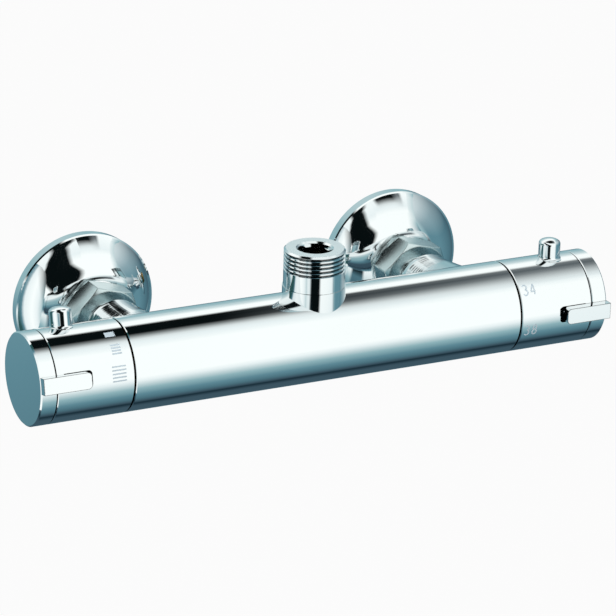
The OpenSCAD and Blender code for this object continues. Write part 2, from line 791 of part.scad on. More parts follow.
module temperature_spindle_oring() { on_right() spindle_oring(); }
module flow_spindle_oring() { on_left() spindle_oring(); }
module spindle_clip() {
    color(steel) difference() {
        ring_x(clip_place + seat_gap, clip_place + seat_gap + clip_t, clip_r, clip_groove_r + run_fit);
        block([clip_place - over, 0, -clip_gap_w / 2],
            [clip_place + clip_t + over, clip_r + over, clip_gap_w / 2]);
    }
}
module temperature_spindle_clip() { on_right() spindle_clip(); }
module flow_spindle_clip() { on_left() spindle_clip(); }

// Thermostatic works: shuttle, wax element, adjusting cup and their springs
module shuttle() {
    color(brass) on_right() difference() {
        union() {
            ring_x(shuttle_start, shuttle_start + shuttle_len, housing_bore_r - slide_fit,
                housing_bore_r - slide_fit - shuttle_wall);
            rod_x(shuttle_web, shuttle_web + shuttle_web_t, housing_bore_r - slide_fit - shuttle_wall / 2);
        }
        rod_x(shuttle_web - over, shuttle_web + shuttle_web_t + over, wax_neck_r + run_fit);
        round_x(web_hole_count, web_hole_place)
            rod_x(shuttle_web - over, shuttle_web + shuttle_web_t + over, web_hole_r);
    }
}
module wax_element() {
    flange_end = shuttle_web - seat_gap;
    color(wax_metal) on_right() difference() {
        union() {
            rod_x(wax_start, flange_end, wax_r);
            rod_x(flange_end - wax_flange_t, flange_end, wax_flange_r);
            rod_x(flange_end - over, wax_neck_end, wax_neck_r);
        }
        rod_x(wax_neck_end - wax_flange_t, wax_neck_end + over, piston_r + run_fit);
    }
}
module wax_piston() {
    color(steel) on_right()
        rod_x(wax_neck_end - wax_flange_t + seat_gap, cup_start + cup_lip + seat_gap, piston_r);
}
module adjusting_cup() {
    color(brass) on_right() {
        difference() {
            rod_x(cup_start, cup_end, housing_bore_r - slide_fit);
            rod_x(cup_start - over, cup_start + cup_lip + over, cup_lip_r);
            rod_x(cup_start + cup_lip, cup_pocket_end, cup_pocket_r);
            rod_x(cup_pocket_end - over, cup_end + over, rod_r + run_fit);
        }
        intersection() {
            key_bars(cup_end - key_len - over, cup_end - over, 0);
            ring_x(cup_end - key_len - over, cup_end - over, housing_bore_r + key_out, housing_bore_r - over);
        }
    }
}
module thrust_pad() {
    start = cup_start + cup_lip + seat_gap + seat_gap;
    color(steel) on_right() rod_x(start, start + thrust_t, thrust_r);
}
module overtravel_spring() {
    start = cup_start + cup_lip + seat_gap + seat_gap + thrust_t + seat_gap;
    color(steel) on_right() translate([start, 0, 0]) rotate([0, 90, 0])
        wire_spring(overtravel_spring_r, overtravel_spring_wire, cup_pocket_end - seat_gap - start,
            overtravel_curls, "overtravel_spring");
}
module return_spring() {
    start = nose_bore_end + seat_gap;
    color(steel) on_right() translate([start, 0, 0]) rotate([0, 90, 0])
        wire_spring(return_spring_r, return_spring_wire, shuttle_start - seat_gap - start,
            return_curls, "return_spring");
}

// Flow works: rubber seal, fixed and moving ceramic disc
seal_start = flow_web + flow_web_t;
fixed_start = seal_start + seal_t;
moving_start = fixed_start + disc_t + disc_fit;
module disc_seal() {
    color(rubber) on_left() difference() {
        rod_x(seal_start, fixed_start, disc_r);
        rod_x(seal_start - over, fixed_start + over, tube_r - tube_wall);
        round_x(return_hole_count, return_hole_place)
            rod_x(seal_start - over, fixed_start + over, return_hole_r);
    }
}
module fixed_disc() {
    color(ceramic) on_left() difference() {
        rod_x(fixed_start, fixed_start + disc_t, disc_r);
        rod_x(fixed_start - over, fixed_start + disc_t + over, disc_hole_r);
        for (centre = [0, 180]) intersection() {
            ring_x(fixed_start - over, fixed_start + disc_t + over, kidney_out, kidney_in);
            wedge_x(fixed_start - over, fixed_start + disc_t + over, kidney_out, centre, kidney_half);
        }
    }
}
module moving_disc() {
    color(ceramic) on_left() rotate([disc_turn, 0, 0]) difference() {
        rod_x(moving_start, moving_start + disc_t, disc_r - disc_wobble);
        block([moving_start - over, -kidney_out, -recess_w / 2],
            [moving_start + recess_depth, kidney_out, recess_w / 2]);
        round_x(2, dog_place, 90)
            rod_x(moving_start + disc_t - dog_len - dog_fit, moving_start + disc_t + over, dog_r + dog_fit);
    }
}

// Knob insert, pegged to the knob's web and driven by the spindle's flats
module knob_insert() {
    flange_end = web_place - seat_gap;
    flange_start = flange_end - insert_flange_t;
    bore_end = spindle_end + seat_gap;
    color(grey_plastic) difference() {
        union() {
            rod_x(flange_start, flange_end, insert_flange_r);
            rod_x(flange_end - over, hub_end, hub_r);
            round_x(peg_count, peg_place, insert_lug_angle) rod_x(flange_end - over, web_place + web_t, peg_r);
            intersection() {
                ring_x(insert_lug_start, flange_end, stop_lug_out, stop_lug_in);
                wedge_x(insert_lug_start, flange_end, stop_lug_out, insert_lug_angle, insert_lug_half);
            }
        }
        intersection() {
            rod_x(flange_start - over, bore_end, drive_r + run_fit);
            block([flange_start - over, -drive_flat - run_fit, -drive_r - over],
                [bore_end, drive_flat + run_fit, drive_r + over]);
        }
        rod_x(bore_end - over, hub_end + over, screw_r + run_fit);
    }
}
module temperature_insert() { on_right() knob_insert(); }
module flow_insert() { on_left() rotate([-flow_knob_turn, 0, 0]) knob_insert(); }

// Screw that holds the knob on its spindle
module knob_screw() {
    head = hub_end + seat_gap;
    color(steel) difference() {
        union() {
            rod_x(screw_tip, head + over, screw_r);
            rod_x(head, head + screw_head_t, screw_head_r);
        }
        hex_x(head + screw_head_t - screw_socket_depth, head + screw_head_t + over, 2 * screw_socket_r);
    }
}
module temperature_screw() { on_right() knob_screw(); }
module flow_screw() { on_left() knob_screw(); }

// Bar along X with round corners at its start, for the button's slot and for the neck that slides in it
module round_bar(start, end, half, top, bottom) {
    middle = start + slot_round;
    corner = half - slot_round;
    block([middle, -top, -half], [end, -bottom, half]);
    block([start, -top, -corner], [middle + over, -bottom, corner]);
    for (up = [-1, 1]) translate([middle, 0, up * corner]) rod_y(-top, -bottom, slot_round);
}

// Knob shell with its web, pin hole and button slot
module knob_shell() {
    outline = [[knob_bore_r, knob_start], [bar_r - seam_break, knob_start], [bar_r, knob_start + seam_break],
        [bar_r, knob_end - seam_break], [bar_r - seam_break, knob_end], [knob_bore_r, knob_end]];
    color(chrome) difference() {
        union() {
            turned_x(outline);
            rod_x(web_place, web_place + web_t, knob_bore_r + knob_wall / 2);
        }
        rod_x(web_place - over, web_place + web_t + over, hub_r + run_fit);
        round_x(peg_count, peg_place, insert_lug_angle)
            rod_x(web_place - over, web_place + web_t + over, peg_r + run_fit);
        translate([pin_place, 0, 0]) rod_z(knob_bore_r - over, bar_r + over, pin_spigot_r + run_fit);
        round_bar(slot_start, slot_end, slot_half, bar_r + over, foot_bottom);
    }
}
module temperature_knob() { on_right() knob_shell(); }
module flow_knob() { on_left() rotate([-flow_knob_turn, 0, 0]) knob_shell(); }

// End cap of a knob
module knob_cap() {
    spigot = knob_bore_r - land_fit;
    color(chrome) turned_x([[0, cap_end], [bar_r - edge_break, cap_end], [bar_r, cap_end - edge_break],
        [bar_r, cap_start + seam_break], [bar_r - seam_break, cap_start], [spigot, cap_start],
        [spigot, cap_start - cap_spigot], [spigot - cap_spigot_wall, cap_start - cap_spigot],
        [spigot - cap_spigot_wall, cap_end - cap_face_t], [0, cap_end - cap_face_t]]);
}
module temperature_cap() { on_right() knob_cap(); }
module flow_cap() { on_left() knob_cap(); }

// Lever pin: a round post with a hollow curve round its foot, and a dome whose edge runs into its crown
module lever_pin() {
    top = bar_r + pin_height;
    dome_base = top - pin_dome;
    foot_edge = pin_r + pin_foot;
    foot_head = bar_r - pin_foot_sink + pin_foot;
    meeting_share = pin_crown / (pin_crown - pin_edge);
    crown_place = top - pin_crown;
    meeting = [(pin_r - pin_edge) * meeting_share, crown_place + (dome_base - crown_place) * meeting_share];
    color(chrome) translate([pin_place, 0, 0]) {
        difference() {
            rotate_extrude() difference() {
                union() {
                    translate([0, knob_bore_r]) square([foot_edge, foot_head - knob_bore_r]);
                    translate([0, knob_bore_r]) square([pin_r, dome_base - knob_bore_r]);
                    intersection() {
                        translate([0, dome_base]) square([pin_r + over, pin_dome + over]);
                        translate([pin_r - pin_edge, dome_base]) circle(r = pin_edge);
                    }
                    intersection() {
                        translate([0, crown_place]) circle(r = pin_crown);
                        polygon([[0, dome_base], [pin_r - pin_edge, dome_base], meeting,
                            [meeting[0], top + over], [0, top + over]]);
                    }
                }
                translate([foot_edge, foot_head]) circle(r = pin_foot);
            }
            translate([-pin_place, 0, 0]) rod_x(knob_start, knob_end, bar_r + seat_gap);
        }
        rod_z(bar_r - pin_spigot_len, bar_r + over, pin_spigot_r);
    }
}
module temperature_pin() { on_right() lever_pin(); }
module flow_pin() { on_left() rotate([-flow_knob_turn, 0, 0]) lever_pin(); }

// Slide button on the front of a knob: finger pad, neck through the slot and retaining foot
module slide_button() {
    half = button_w / 2;
    neck_half = half - button_fit;
    color(chrome) {
        difference() {
            block([pad_start, -pad_top, -half], [pad_end, -pad_floor + pad_side_drop, half]);
            rod_x(pad_start - over, pad_end + over, pad_floor);
            for (up = [0, 1]) mirror([0, 0, up]) difference() {
                block([pad_start - over, -pad_top - over, half - pad_round],
                    [pad_start + pad_round, pad_side_drop - bar_r, half + over]);
                translate([pad_start + pad_round, -pad_top, half - pad_round])
                    rod_y(-over, pad_top, pad_round);
            }
        }
        round_bar(pad_start, button_neck_end, neck_half, pad_floor + over, foot_top - over);
        block([foot_start, -foot_top, -foot_w / 2], [foot_end, -foot_bottom, foot_w / 2]);
    }
}
module safety_button() { on_right() slide_button(); }
module eco_button() { on_left() rotate([-flow_knob_turn, 0, 0]) slide_button(); }
module button_spring(name) {
    start = web_place + web_t + seat_gap;
    color(steel) translate([start, -button_spring_place, 0]) rotate([0, 90, 0])
        wire_spring(button_spring_r, button_spring_wire, foot_start - seat_gap - start, button_curls, name);
}
module safety_button_spring() { on_right() button_spring("safety_button_spring"); }
module eco_button_spring() { on_left() rotate([-flow_knob_turn, 0, 0]) button_spring("eco_button_spring"); }

// Inlet tail with the flange that the union nut pulls on
module inlet_tail(side) {
    color(chrome) at_inlet(side) difference() {
        union() {
            rod_y(tail_in + seat_gap, inlet_reach, tail_r);
            rod_y(tail_in + seat_gap, neck_end, neck_r);
            rod_y(neck_end - neck_flange_w, neck_end, neck_flange_r);
        }
        rod_y(tail_in - over, neck_end + over, check_bore_r);
    }
}
module hot_inlet_tail() { inlet_tail(-1); }
module cold_inlet_tail() { inlet_tail(1); }

// Union nut, chamfered at both ends
module union_nut(side) {
    corner = nut_flats / 2 / cos(30);
    slope = nut_chamfer * tan(30);
    color(chrome) at_inlet(side) difference() {
        intersection() {
            hex_y(nut_start, nut_end, nut_flats, nut_turn);
            turned_y([[0, nut_start], [corner - nut_chamfer, nut_start], [corner, nut_start + slope],
                [corner, nut_end - slope], [corner - nut_chamfer, nut_end], [0, nut_end]]);
        }
        rod_y(nut_start - over, nut_end + over, neck_r + nut_neck_fit);
        rod_y(nut_start + nut_lip, nut_end + over, union_r + run_fit);
    }
}
module hot_union_nut() { union_nut(-1); }
module cold_union_nut() { union_nut(1); }
module union_washers() {
    for (side = [-1, 1]) color(rubber) at_inlet(side)
        ring_y(neck_end + seat_gap, union_face, washer_r, washer_hole_r);
}

// Wall connector: union thread, key hexagon and wall thread
module wall_connector(side) {
    union_turns = floor((union_thread_end - union_face) / wall_pitch);
    wall_end = wall_to_bar + wall_thread_len;
    wall_turns = floor((wall_end - hex_end) / wall_pitch);
    start = union_face + seat_gap;
    outline = concat([[connector_r, start]],
        thread_points(union_r, thread_depth, start, wall_pitch, union_turns),
        [[union_r, start + union_turns * wall_pitch], [union_r, union_thread_end],
            [connector_r, union_thread_end]]);
    wall_outline = concat([[connector_r, hex_end]],
        thread_points(wall_thread_r, thread_depth, hex_end, wall_pitch, wall_turns),
        [[wall_thread_r, hex_end + wall_turns * wall_pitch], [wall_thread_r, wall_end],
            [connector_r, wall_end]]);
    color(brass) at_inlet(side) {
        turned_y(outline);
        turned_y(wall_outline);
        difference() {
            hex_y(union_thread_end, hex_end, hex_flats);
            rod_y(union_thread_end - over, hex_end + over, connector_r);
        }
    }
}
module hot_wall_connector() { wall_connector(-1); }
module cold_wall_connector() { wall_connector(1); }

// Wall flange, a domed shell that hides the connection: its dome is part of a ring of radius dome_r
module wall_flange(side) {
    hole = union_r + flange_hole_fit;
    rim_front = wall_to_bar - flange_rim;
    dome_front = flange_front + flange_lip_drop;
    dome_side = flange_r - flange_step;
    across = dome_side - flange_lip_r;
    deep = rim_front - dome_front;
    chord = sqrt(across * across + deep * deep);
    dome_r = (chord * chord / 4 + flange_bulge * flange_bulge) / (2 * flange_bulge);
    set_in = (dome_r - flange_bulge) / chord;
    centre = [flange_lip_r + across / 2 - deep * set_in, dome_front + deep / 2 + across * set_in];
    inner_r = flange_r - flange_taper - flange_foot;
    color(chrome) at_inlet(side) rotate([-90, 0, 0]) difference() {
        union() {
            rotate_extrude() intersection() {
                translate(centre) circle(r = dome_r);
                translate([0, dome_front]) square([dome_side, deep + over]);
            }
            rotate_extrude() polygon([[0, flange_front], [hole, flange_front],
                [flange_lip_r, dome_front], [flange_lip_r, dome_front + flange_wall],
                [0, dome_front + flange_wall]]);
            rotate_extrude() polygon([[0, rim_front], [dome_side, rim_front],
                [flange_r, rim_front + flange_step / 2], [flange_r - flange_taper, wall_to_bar],
                [0, wall_to_bar]]);
        }
        rotate_extrude() intersection() {
            translate(centre) circle(r = dome_r - flange_wall);
            translate([0, dome_front + flange_wall])
                square([inner_r, deep + flange_rim - flange_wall + over]);
        }
        translate([0, 0, rim_front + flange_wall]) cylinder(h = flange_rim, r = inner_r);
        translate([0, 0, flange_front - over]) cylinder(h = flange_depth + flange_rim, r = hole);
    }
}
module hot_wall_flange() { wall_flange(-1); }
module cold_wall_flange() { wall_flange(1); }

// Strainers in the ends of the inlet tails
module inlet_strainers() {
    low = neck_end - strainer_len;
    for (side = [-1, 1]) color(steel) at_inlet(side) difference() {
        union() {
            rod_y(low, neck_end, strainer_r);
            rod_y(neck_end - strainer_flange_t, neck_end, check_r);
        }
        rod_y(low + strainer_wall, neck_end + over, strainer_r - strainer_wall);
        for (i = [0:strainer_slots / 2 - 1]) rotate([0, i * 360 / strainer_slots, 0])
            block([-check_r, low + strainer_rim, -strainer_slot_w / 2],
                [check_r, neck_end - strainer_flange_t - strainer_rim, strainer_slot_w / 2]);
    }
}

// Check valve cartridge: body with seat and spider, poppet, spring and O-ring
check_start = check_seat + seat_gap;
check_end = check_start + check_len;
poppet_face = check_end - check_seat_t - seat_gap;
module check_body(side) {
    groove = check_start + check_oring_place;
    color(white_plastic) at_inlet(side) difference() {
        rod_y(check_start, check_end, check_r);
        rod_y(check_start + spider_t, check_end - check_seat_t, check_r - check_wall);
        rod_y(check_end - check_seat_t - over, check_end + over, check_hole_r);
        rod_y(check_start - over, check_start + spider_t + over, stem_r + stem_fit);
        round_y(spider_holes, spider_hole_place, 60)
            rod_y(check_start - over, check_start + spider_t + over, spider_hole_r);
        ring_y(groove - check_groove_w / 2, groove + check_groove_w / 2,
            check_r + over, check_r - check_groove_depth);
    }
}
module hot_check_body() { check_body(-1); }
module cold_check_body() { check_body(1); }
module check_valve_orings() {
    for (side = [-1, 1]) color(rubber) at_inlet(side) translate([0, check_start + check_oring_place, 0])
        rotate([-90, 0, 0]) oring_ring(check_r - check_groove_depth, check_bore_r);
}
module check_poppet(side) {
    color(white_plastic) at_inlet(side) {
        rod_y(poppet_face - poppet_t, poppet_face, poppet_r);
        rod_y(check_start + spider_t - stem_out, poppet_face, stem_r);
    }
}
module hot_check_poppet() { check_poppet(-1); }
module cold_check_poppet() { check_poppet(1); }
module check_spring(side, name) {
    start = check_start + spider_t + seat_gap;
    color(steel) at_inlet(side) translate([0, start, 0]) rotate([-90, 0, 0])
        wire_spring(check_spring_r, check_spring_wire, poppet_face - poppet_t - seat_gap - start,
            check_curls, name);
}
module hot_check_spring() { check_spring(-1, "hot_check_spring"); }
module cold_check_spring() { check_spring(1, "cold_check_spring"); }

valve_body();
outlet_nipple();
outlet_oring();
mixing_tube();
thermo_housing();
thermo_housing_orings();
thermo_bonnet();
temperature_stop_ring();
return_spring();
shuttle();
wax_element();
wax_piston();
adjusting_cup();
thrust_pad();
overtravel_spring();
temperature_spindle();
temperature_spindle_oring();
temperature_spindle_clip();
temperature_insert();
temperature_screw();
temperature_knob();
temperature_cap();
temperature_pin();
safety_button();
safety_button_spring();
flow_housing();
flow_housing_orings();
disc_seal();
fixed_disc();
moving_disc();
flow_bonnet();
flow_stop_ring();
flow_spindle();
flow_spindle_oring();
flow_spindle_clip();
flow_insert();
flow_screw();
flow_knob();
flow_cap();
flow_pin();
eco_button();
eco_button_spring();
hot_inlet_tail();
cold_inlet_tail();
hot_union_nut();
cold_union_nut();
union_washers();
hot_wall_connector();
cold_wall_connector();
hot_wall_flange();
cold_wall_flange();
inlet_strainers();
hot_check_body();
cold_check_body();
check_valve_orings();
hot_check_poppet();
cold_check_poppet();
hot_check_spring();
cold_check_spring();
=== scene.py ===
"""Looks of the shower valve: plating, inner materials, marks on the knobs and the studio round it."""
import json
import math

import bmesh
import bpy
from bpy.props import FloatProperty, FloatVectorProperty, PointerProperty
from mathutils import Matrix, Vector


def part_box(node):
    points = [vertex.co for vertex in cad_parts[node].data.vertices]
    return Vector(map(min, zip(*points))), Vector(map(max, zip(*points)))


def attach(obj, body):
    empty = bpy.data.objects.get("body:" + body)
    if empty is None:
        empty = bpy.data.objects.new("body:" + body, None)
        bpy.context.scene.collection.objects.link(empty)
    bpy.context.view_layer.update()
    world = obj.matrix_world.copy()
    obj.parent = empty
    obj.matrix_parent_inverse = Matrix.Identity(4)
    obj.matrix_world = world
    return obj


bl_info = {
    "name": "Shower Valve Finish",
    "version": (1, 0, 0),
    "blender": (4, 5, 0),
    "location": "3D View > Sidebar > Valve",
    "description": "Plating, inner materials, marks and studio of a bar shower valve",
    "category": "Object",
}

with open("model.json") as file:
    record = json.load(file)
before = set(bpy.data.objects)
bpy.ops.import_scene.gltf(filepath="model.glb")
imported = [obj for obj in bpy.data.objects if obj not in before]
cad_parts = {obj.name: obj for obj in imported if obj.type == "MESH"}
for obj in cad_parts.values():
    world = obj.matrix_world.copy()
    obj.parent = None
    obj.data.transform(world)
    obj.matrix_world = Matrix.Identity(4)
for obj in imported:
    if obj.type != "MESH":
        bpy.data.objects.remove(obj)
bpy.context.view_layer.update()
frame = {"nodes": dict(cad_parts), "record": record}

MM = 0.001

# The bar's axis, the inner ends of the two knobs and the outlet, as the frame holds them
knob_low, knob_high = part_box("temperature_knob")
nipple_low, nipple_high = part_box("outlet_nipple")
BAR_R = (knob_high.z - knob_low.z) / 2
AXIS_Y = (knob_high.y + knob_low.y) / 2
AXIS_Z = (knob_high.z + knob_low.z) / 2
TEMPERATURE_INNER = knob_low.x
FLOW_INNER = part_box("flow_knob")[1].x
NIPPLE_TOP = nipple_high.z
NIPPLE_R = (nipple_high.x - nipple_low.x) / 2

# Pieces whose plate isn't the plain one, in this order: bare brass inside, painted shade inside, painted
# shade lines along the edges, a darker tone that is painted reflection, and threaded with painted shade
# in the grooves
BRASS_INSIDE = ("valve_body",)
SHADE_PAINTED_INSIDE = ("temperature_knob", "flow_knob")
BUTTONS = ("safety_button", "eco_button")
NUTS = ("hot_union_nut", "cold_union_nut")
OUTLET = ("outlet_nipple",)

# Colours inside the plated pieces: bare brass, and near-black painted shade
RAW_BRASS = (0.62, 0.46, 0.22, 1)
UNLIT = (0.012, 0.014, 0.015, 1)

# Scales of the noise in the plate and in the bare materials' clouds, and the height of the plate's waves
HANDLED_SCALE = 45
CLOUD_SCALE = 9
WAVE_SCALE = 70
BARE_CLOUD_SCALE = 60
WAVE_HEIGHT = 0.0015 * MM

# Levels of a cloud's noise between which the colour turns, on the plate and on the bare materials
PLATE_CLOUD = (0.3, 0.7)
BARE_CLOUD = (0.25, 0.7)

# How far under its skin the plate has given way to the bare inside
SKIN_FADE = 0.1 * MM

# Pairs of depths, in millimetres, between which the outlet's finish changes. The first two are under the
# thread's crests, where painted shade darkens its grooves and where that painted shade ends towards the
# bore.
# The last two are under the top face, where the painted shade starts and where the turned face ends.
GROOVE_DEPTHS = (0.25, 0.75)
BORE_DEPTHS = (2.5, 1.8)
SHADE_DEPTHS = (0.9, 1.1)
TURNED_DEPTHS = (0.12, 0.04)

# Shares of the plate's brightness: in its clouds, in the painted shade of the grooves and along the
# painted shade lines on the edges
CLOUD_SHARE = 0.97
PAINTED_GROOVE_SHADE_SHARE = 0.34
PAINTED_EDGE_SHADE_SHARE = 0.08

# How much rougher than the plate the bare inside and the turned top face are
BARE_ROUGHER = 0.45
TURNED_ROUGHER = 0.32

# Cosines between a face and its rounded edge at which a painted shade line along the edge begins and is
# full
EDGE_COSINES = (0.995, 0.93)
BEVEL_SAMPLES = 8


class PlatingSettings(bpy.types.PropertyGroup):
    """Chrome plating on everything that shows"""

    colour: FloatVectorProperty(
        name="Colour", description="Colour of the chrome plate", subtype="COLOR",
        size=3, min=0, max=1, default=(0.86, 0.89, 0.90))
    roughness: FloatProperty(
        name="Roughness", description="Roughness of the polished plate", subtype="FACTOR",
        min=0, max=1, default=0.03)
    smear: FloatProperty(
        name="Smear", description="How much rougher the plate is where it was handled",
        subtype="FACTOR", min=0, max=1, default=0.035)
    skin: FloatProperty(
        name="Plated skin", description="How deep under the bar's surface the body's plate reaches",
        unit="LENGTH", min=0.0002, max=0.005, default=0.0014)
    shell_skin: FloatProperty(
        name="Plated skin of the knobs",
        description="How deep under the surface the knobs' plate reaches",
        unit="LENGTH", min=0.00005, max=0.005, default=0.00025)
    # The buttons' edge line is painted shade, standing in for the shade of their rounded edges and of the
    # gaps round them
    edge: FloatProperty(
        name="Edge line", description="Width of the dark line along the edges of the buttons",
        unit="LENGTH", precision=5, min=0.00005, max=0.001, default=0.0005)
    nut_roughness: FloatProperty(
        name="Nuts' roughness", description="Roughness of the plate on the union nuts",
        subtype="FACTOR", min=0, max=1, default=0.2)
    # Painted reflection: the nuts' darker colour stands in for the dark surroundings that they mirror
    nut_painted_reflection_tone: FloatVectorProperty(
        name="Nuts' colour", description="Colour of the thinner plate on the union nuts",
        subtype="COLOR", size=3, min=0, max=1, default=(0.6, 0.7, 0.71))
    nut_edge: FloatProperty(
        name="Nuts' edge", description="Radius by which the edges of the nuts look rounded",
        unit="LENGTH", precision=5, min=0.00005, max=0.002, default=0.0009)


class InnerSettings(bpy.types.PropertyGroup):
    """Bare materials inside the valve"""

    brass: FloatVectorProperty(
        name="Brass", description="Colour of the machined brass", subtype="COLOR",
        size=3, min=0, max=1, default=(0.78, 0.58, 0.27))
    steel: FloatVectorProperty(
        name="Steel", description="Colour of the stainless steel", subtype="COLOR",
        size=3, min=0, max=1, default=(0.62, 0.64, 0.66))
    copper: FloatVectorProperty(
        name="Copper", description="Colour of the drawn copper", subtype="COLOR",
        size=3, min=0, max=1, default=(0.80, 0.42, 0.26))
    rubber: FloatVectorProperty(
        name="Rubber", description="Colour of the seals", subtype="COLOR",
        size=3, min=0, max=1, default=(0.022, 0.022, 0.025))
    white: FloatVectorProperty(
        name="White plastic", description="Colour of the white moulded parts", subtype="COLOR",
        size=3, min=0, max=1, default=(0.80, 0.80, 0.76))
    grey: FloatVectorProperty(
        name="Grey plastic", description="Colour of the grey moulded parts", subtype="COLOR",
        size=3, min=0, max=1, default=(0.16, 0.17, 0.19))
    ceramic: FloatVectorProperty(
        name="Ceramic", description="Colour of the lapped discs", subtype="COLOR",
        size=3, min=0, max=1, default=(0.86, 0.82, 0.74))


class MarkSettings(bpy.types.PropertyGroup):
    """Marks on the two knobs"""

    height: FloatProperty(
        name="Digit height", description="Height of the temperature numbers",
        unit="LENGTH", min=0.001, max=0.01, default=0.0049)
    stroke: FloatProperty(
        name="Stroke", description="Width of the strokes of the numbers",
        unit="LENGTH", min=0.0001, max=0.002, default=0.0006)
    proud: FloatProperty(
        name="Thickness", description="How far the marks stand proud of the knob",
        unit="LENGTH", min=0.00001, max=0.0002, default=0.00004)
    colour: FloatVectorProperty(
        name="Colour", description="Colour of the satin marks", subtype="COLOR",
        size=3, min=0, max=1, default=(0.50, 0.60, 0.66))


class StudioSettings(bpy.types.PropertyGroup):
    """Camera, light tent, floor and lamp"""

    camera_place: FloatVectorProperty(
        name="Camera place", description="Where the camera stands", subtype="TRANSLATION",
        unit="LENGTH", size=3, default=(-0.7064, -1.4748, 0.5994))
    camera_right: FloatVectorProperty(
        name="Camera right", description="The way that the picture's right side points",
        subtype="DIRECTION", size=3, default=(0.89696, -0.44144, 0.02435))
    camera_up: FloatVectorProperty(
        name="Camera up", description="The way that the picture's top points",
        subtype="DIRECTION", size=3, default=(0.13461, 0.32515, 0.93603))
    camera_lens: FloatProperty(
        name="Lens", description="Focal length on a 36 mm sensor, in millimetres",
        min=20, max=500, default=229.5)
    tent_radius: FloatProperty(
        name="Tent radius", description="Radius of the light tent round the bar",
        unit="LENGTH", min=0.3, max=1.4, default=0.5)
    tent_half: FloatProperty(
        name="Tent half length", description="Distance from the bar's middle to each end of the tent",
        unit="LENGTH", min=0.3, max=3, default=0.577)
    tent_strength: FloatProperty(
        name="Tent strength", description="How bright the tent is in the chrome",
        min=0.1, max=3, default=1.2)
    flag_radius: FloatProperty(
        name="Flag's distance", description="Distance from the bar to the flag over it",
        unit="LENGTH", min=1, max=5, default=3)
    flag_from: FloatProperty(
        name="Flag's left edge", description="Place along the bar's axis where the flag begins",
        unit="LENGTH", default=0.15)
    flag_to: FloatProperty(
        name="Flag's right edge", description="Place along the bar's axis where the flag ends",
        unit="LENGTH", default=1.85)
    flag_soft: FloatProperty(
        name="Flag's soft ends", description="Length over which the flag comes and goes",
        unit="LENGTH", min=0.01, max=1, default=0.25)
    flag_dense: FloatProperty(
        name="Flag's dense end", description="Place along the bar's axis up to which the flag is black",
        unit="LENGTH", default=1.26)
    flag_thin: FloatProperty(
        name="Flag's thin end", description="Place along the bar's axis where the flag is thin",
        unit="LENGTH", default=1.71)
    fade_start: FloatProperty(
        name="Fade's start", description="Place along the tent where it begins to fade to its right rim",
        unit="LENGTH", default=0.42)
    fade_end: FloatProperty(
        name="Fade's end", description="Place along the tent where it has faded to its right rim",
        unit="LENGTH", default=0.57)
    left_edge: FloatProperty(
        name="Opening's left edge", description="Half the width of the soft left edge of the opening",
        unit="LENGTH", min=0.001, max=0.1, default=0.04)
    right_edge: FloatProperty(
        name="Opening's right edge", description="Half the width of the soft right edge of the opening",
        unit="LENGTH", min=0.001, max=0.1, default=0.03)
    floor_drop: FloatProperty(
        name="Floor", description="How far the floor lies below the bar's axis",
        unit="LENGTH", min=1.4, max=3, default=1.45)
    floor_radius: FloatProperty(
        name="Floor's radius", description="Radius of the round floor",
        unit="LENGTH", min=3, max=50, default=12)
    lamp_width: FloatProperty(
        name="Lamp's width", description="Width of the soft lamp",
        unit="LENGTH", min=0.1, max=3, default=1.2)
    lamp_height: FloatProperty(
        name="Lamp's height", description="Height of the soft lamp",
        unit="LENGTH", min=0.1, max=3, default=0.8)
    lamp_power: FloatProperty(
        name="Lamp's power", description="Power of the soft lamp",
        unit="POWER", min=0, max=200, default=14)


def linear(value):
    """A display level from 0 to 255 as a scene-linear value."""
    share = value / 255
    return share / 12.92 if share <= 0.04045 else ((share + 0.055) / 1.055) ** 2.4


def shade(red, green, blue):
    """A colour from its three display levels."""
    return (linear(red), linear(green), linear(blue), 1)


def tinted(colour, share):
    """A colour darkened to a share of its brightness."""
    return (colour[0] * share, colour[1] * share, colour[2] * share, 1)


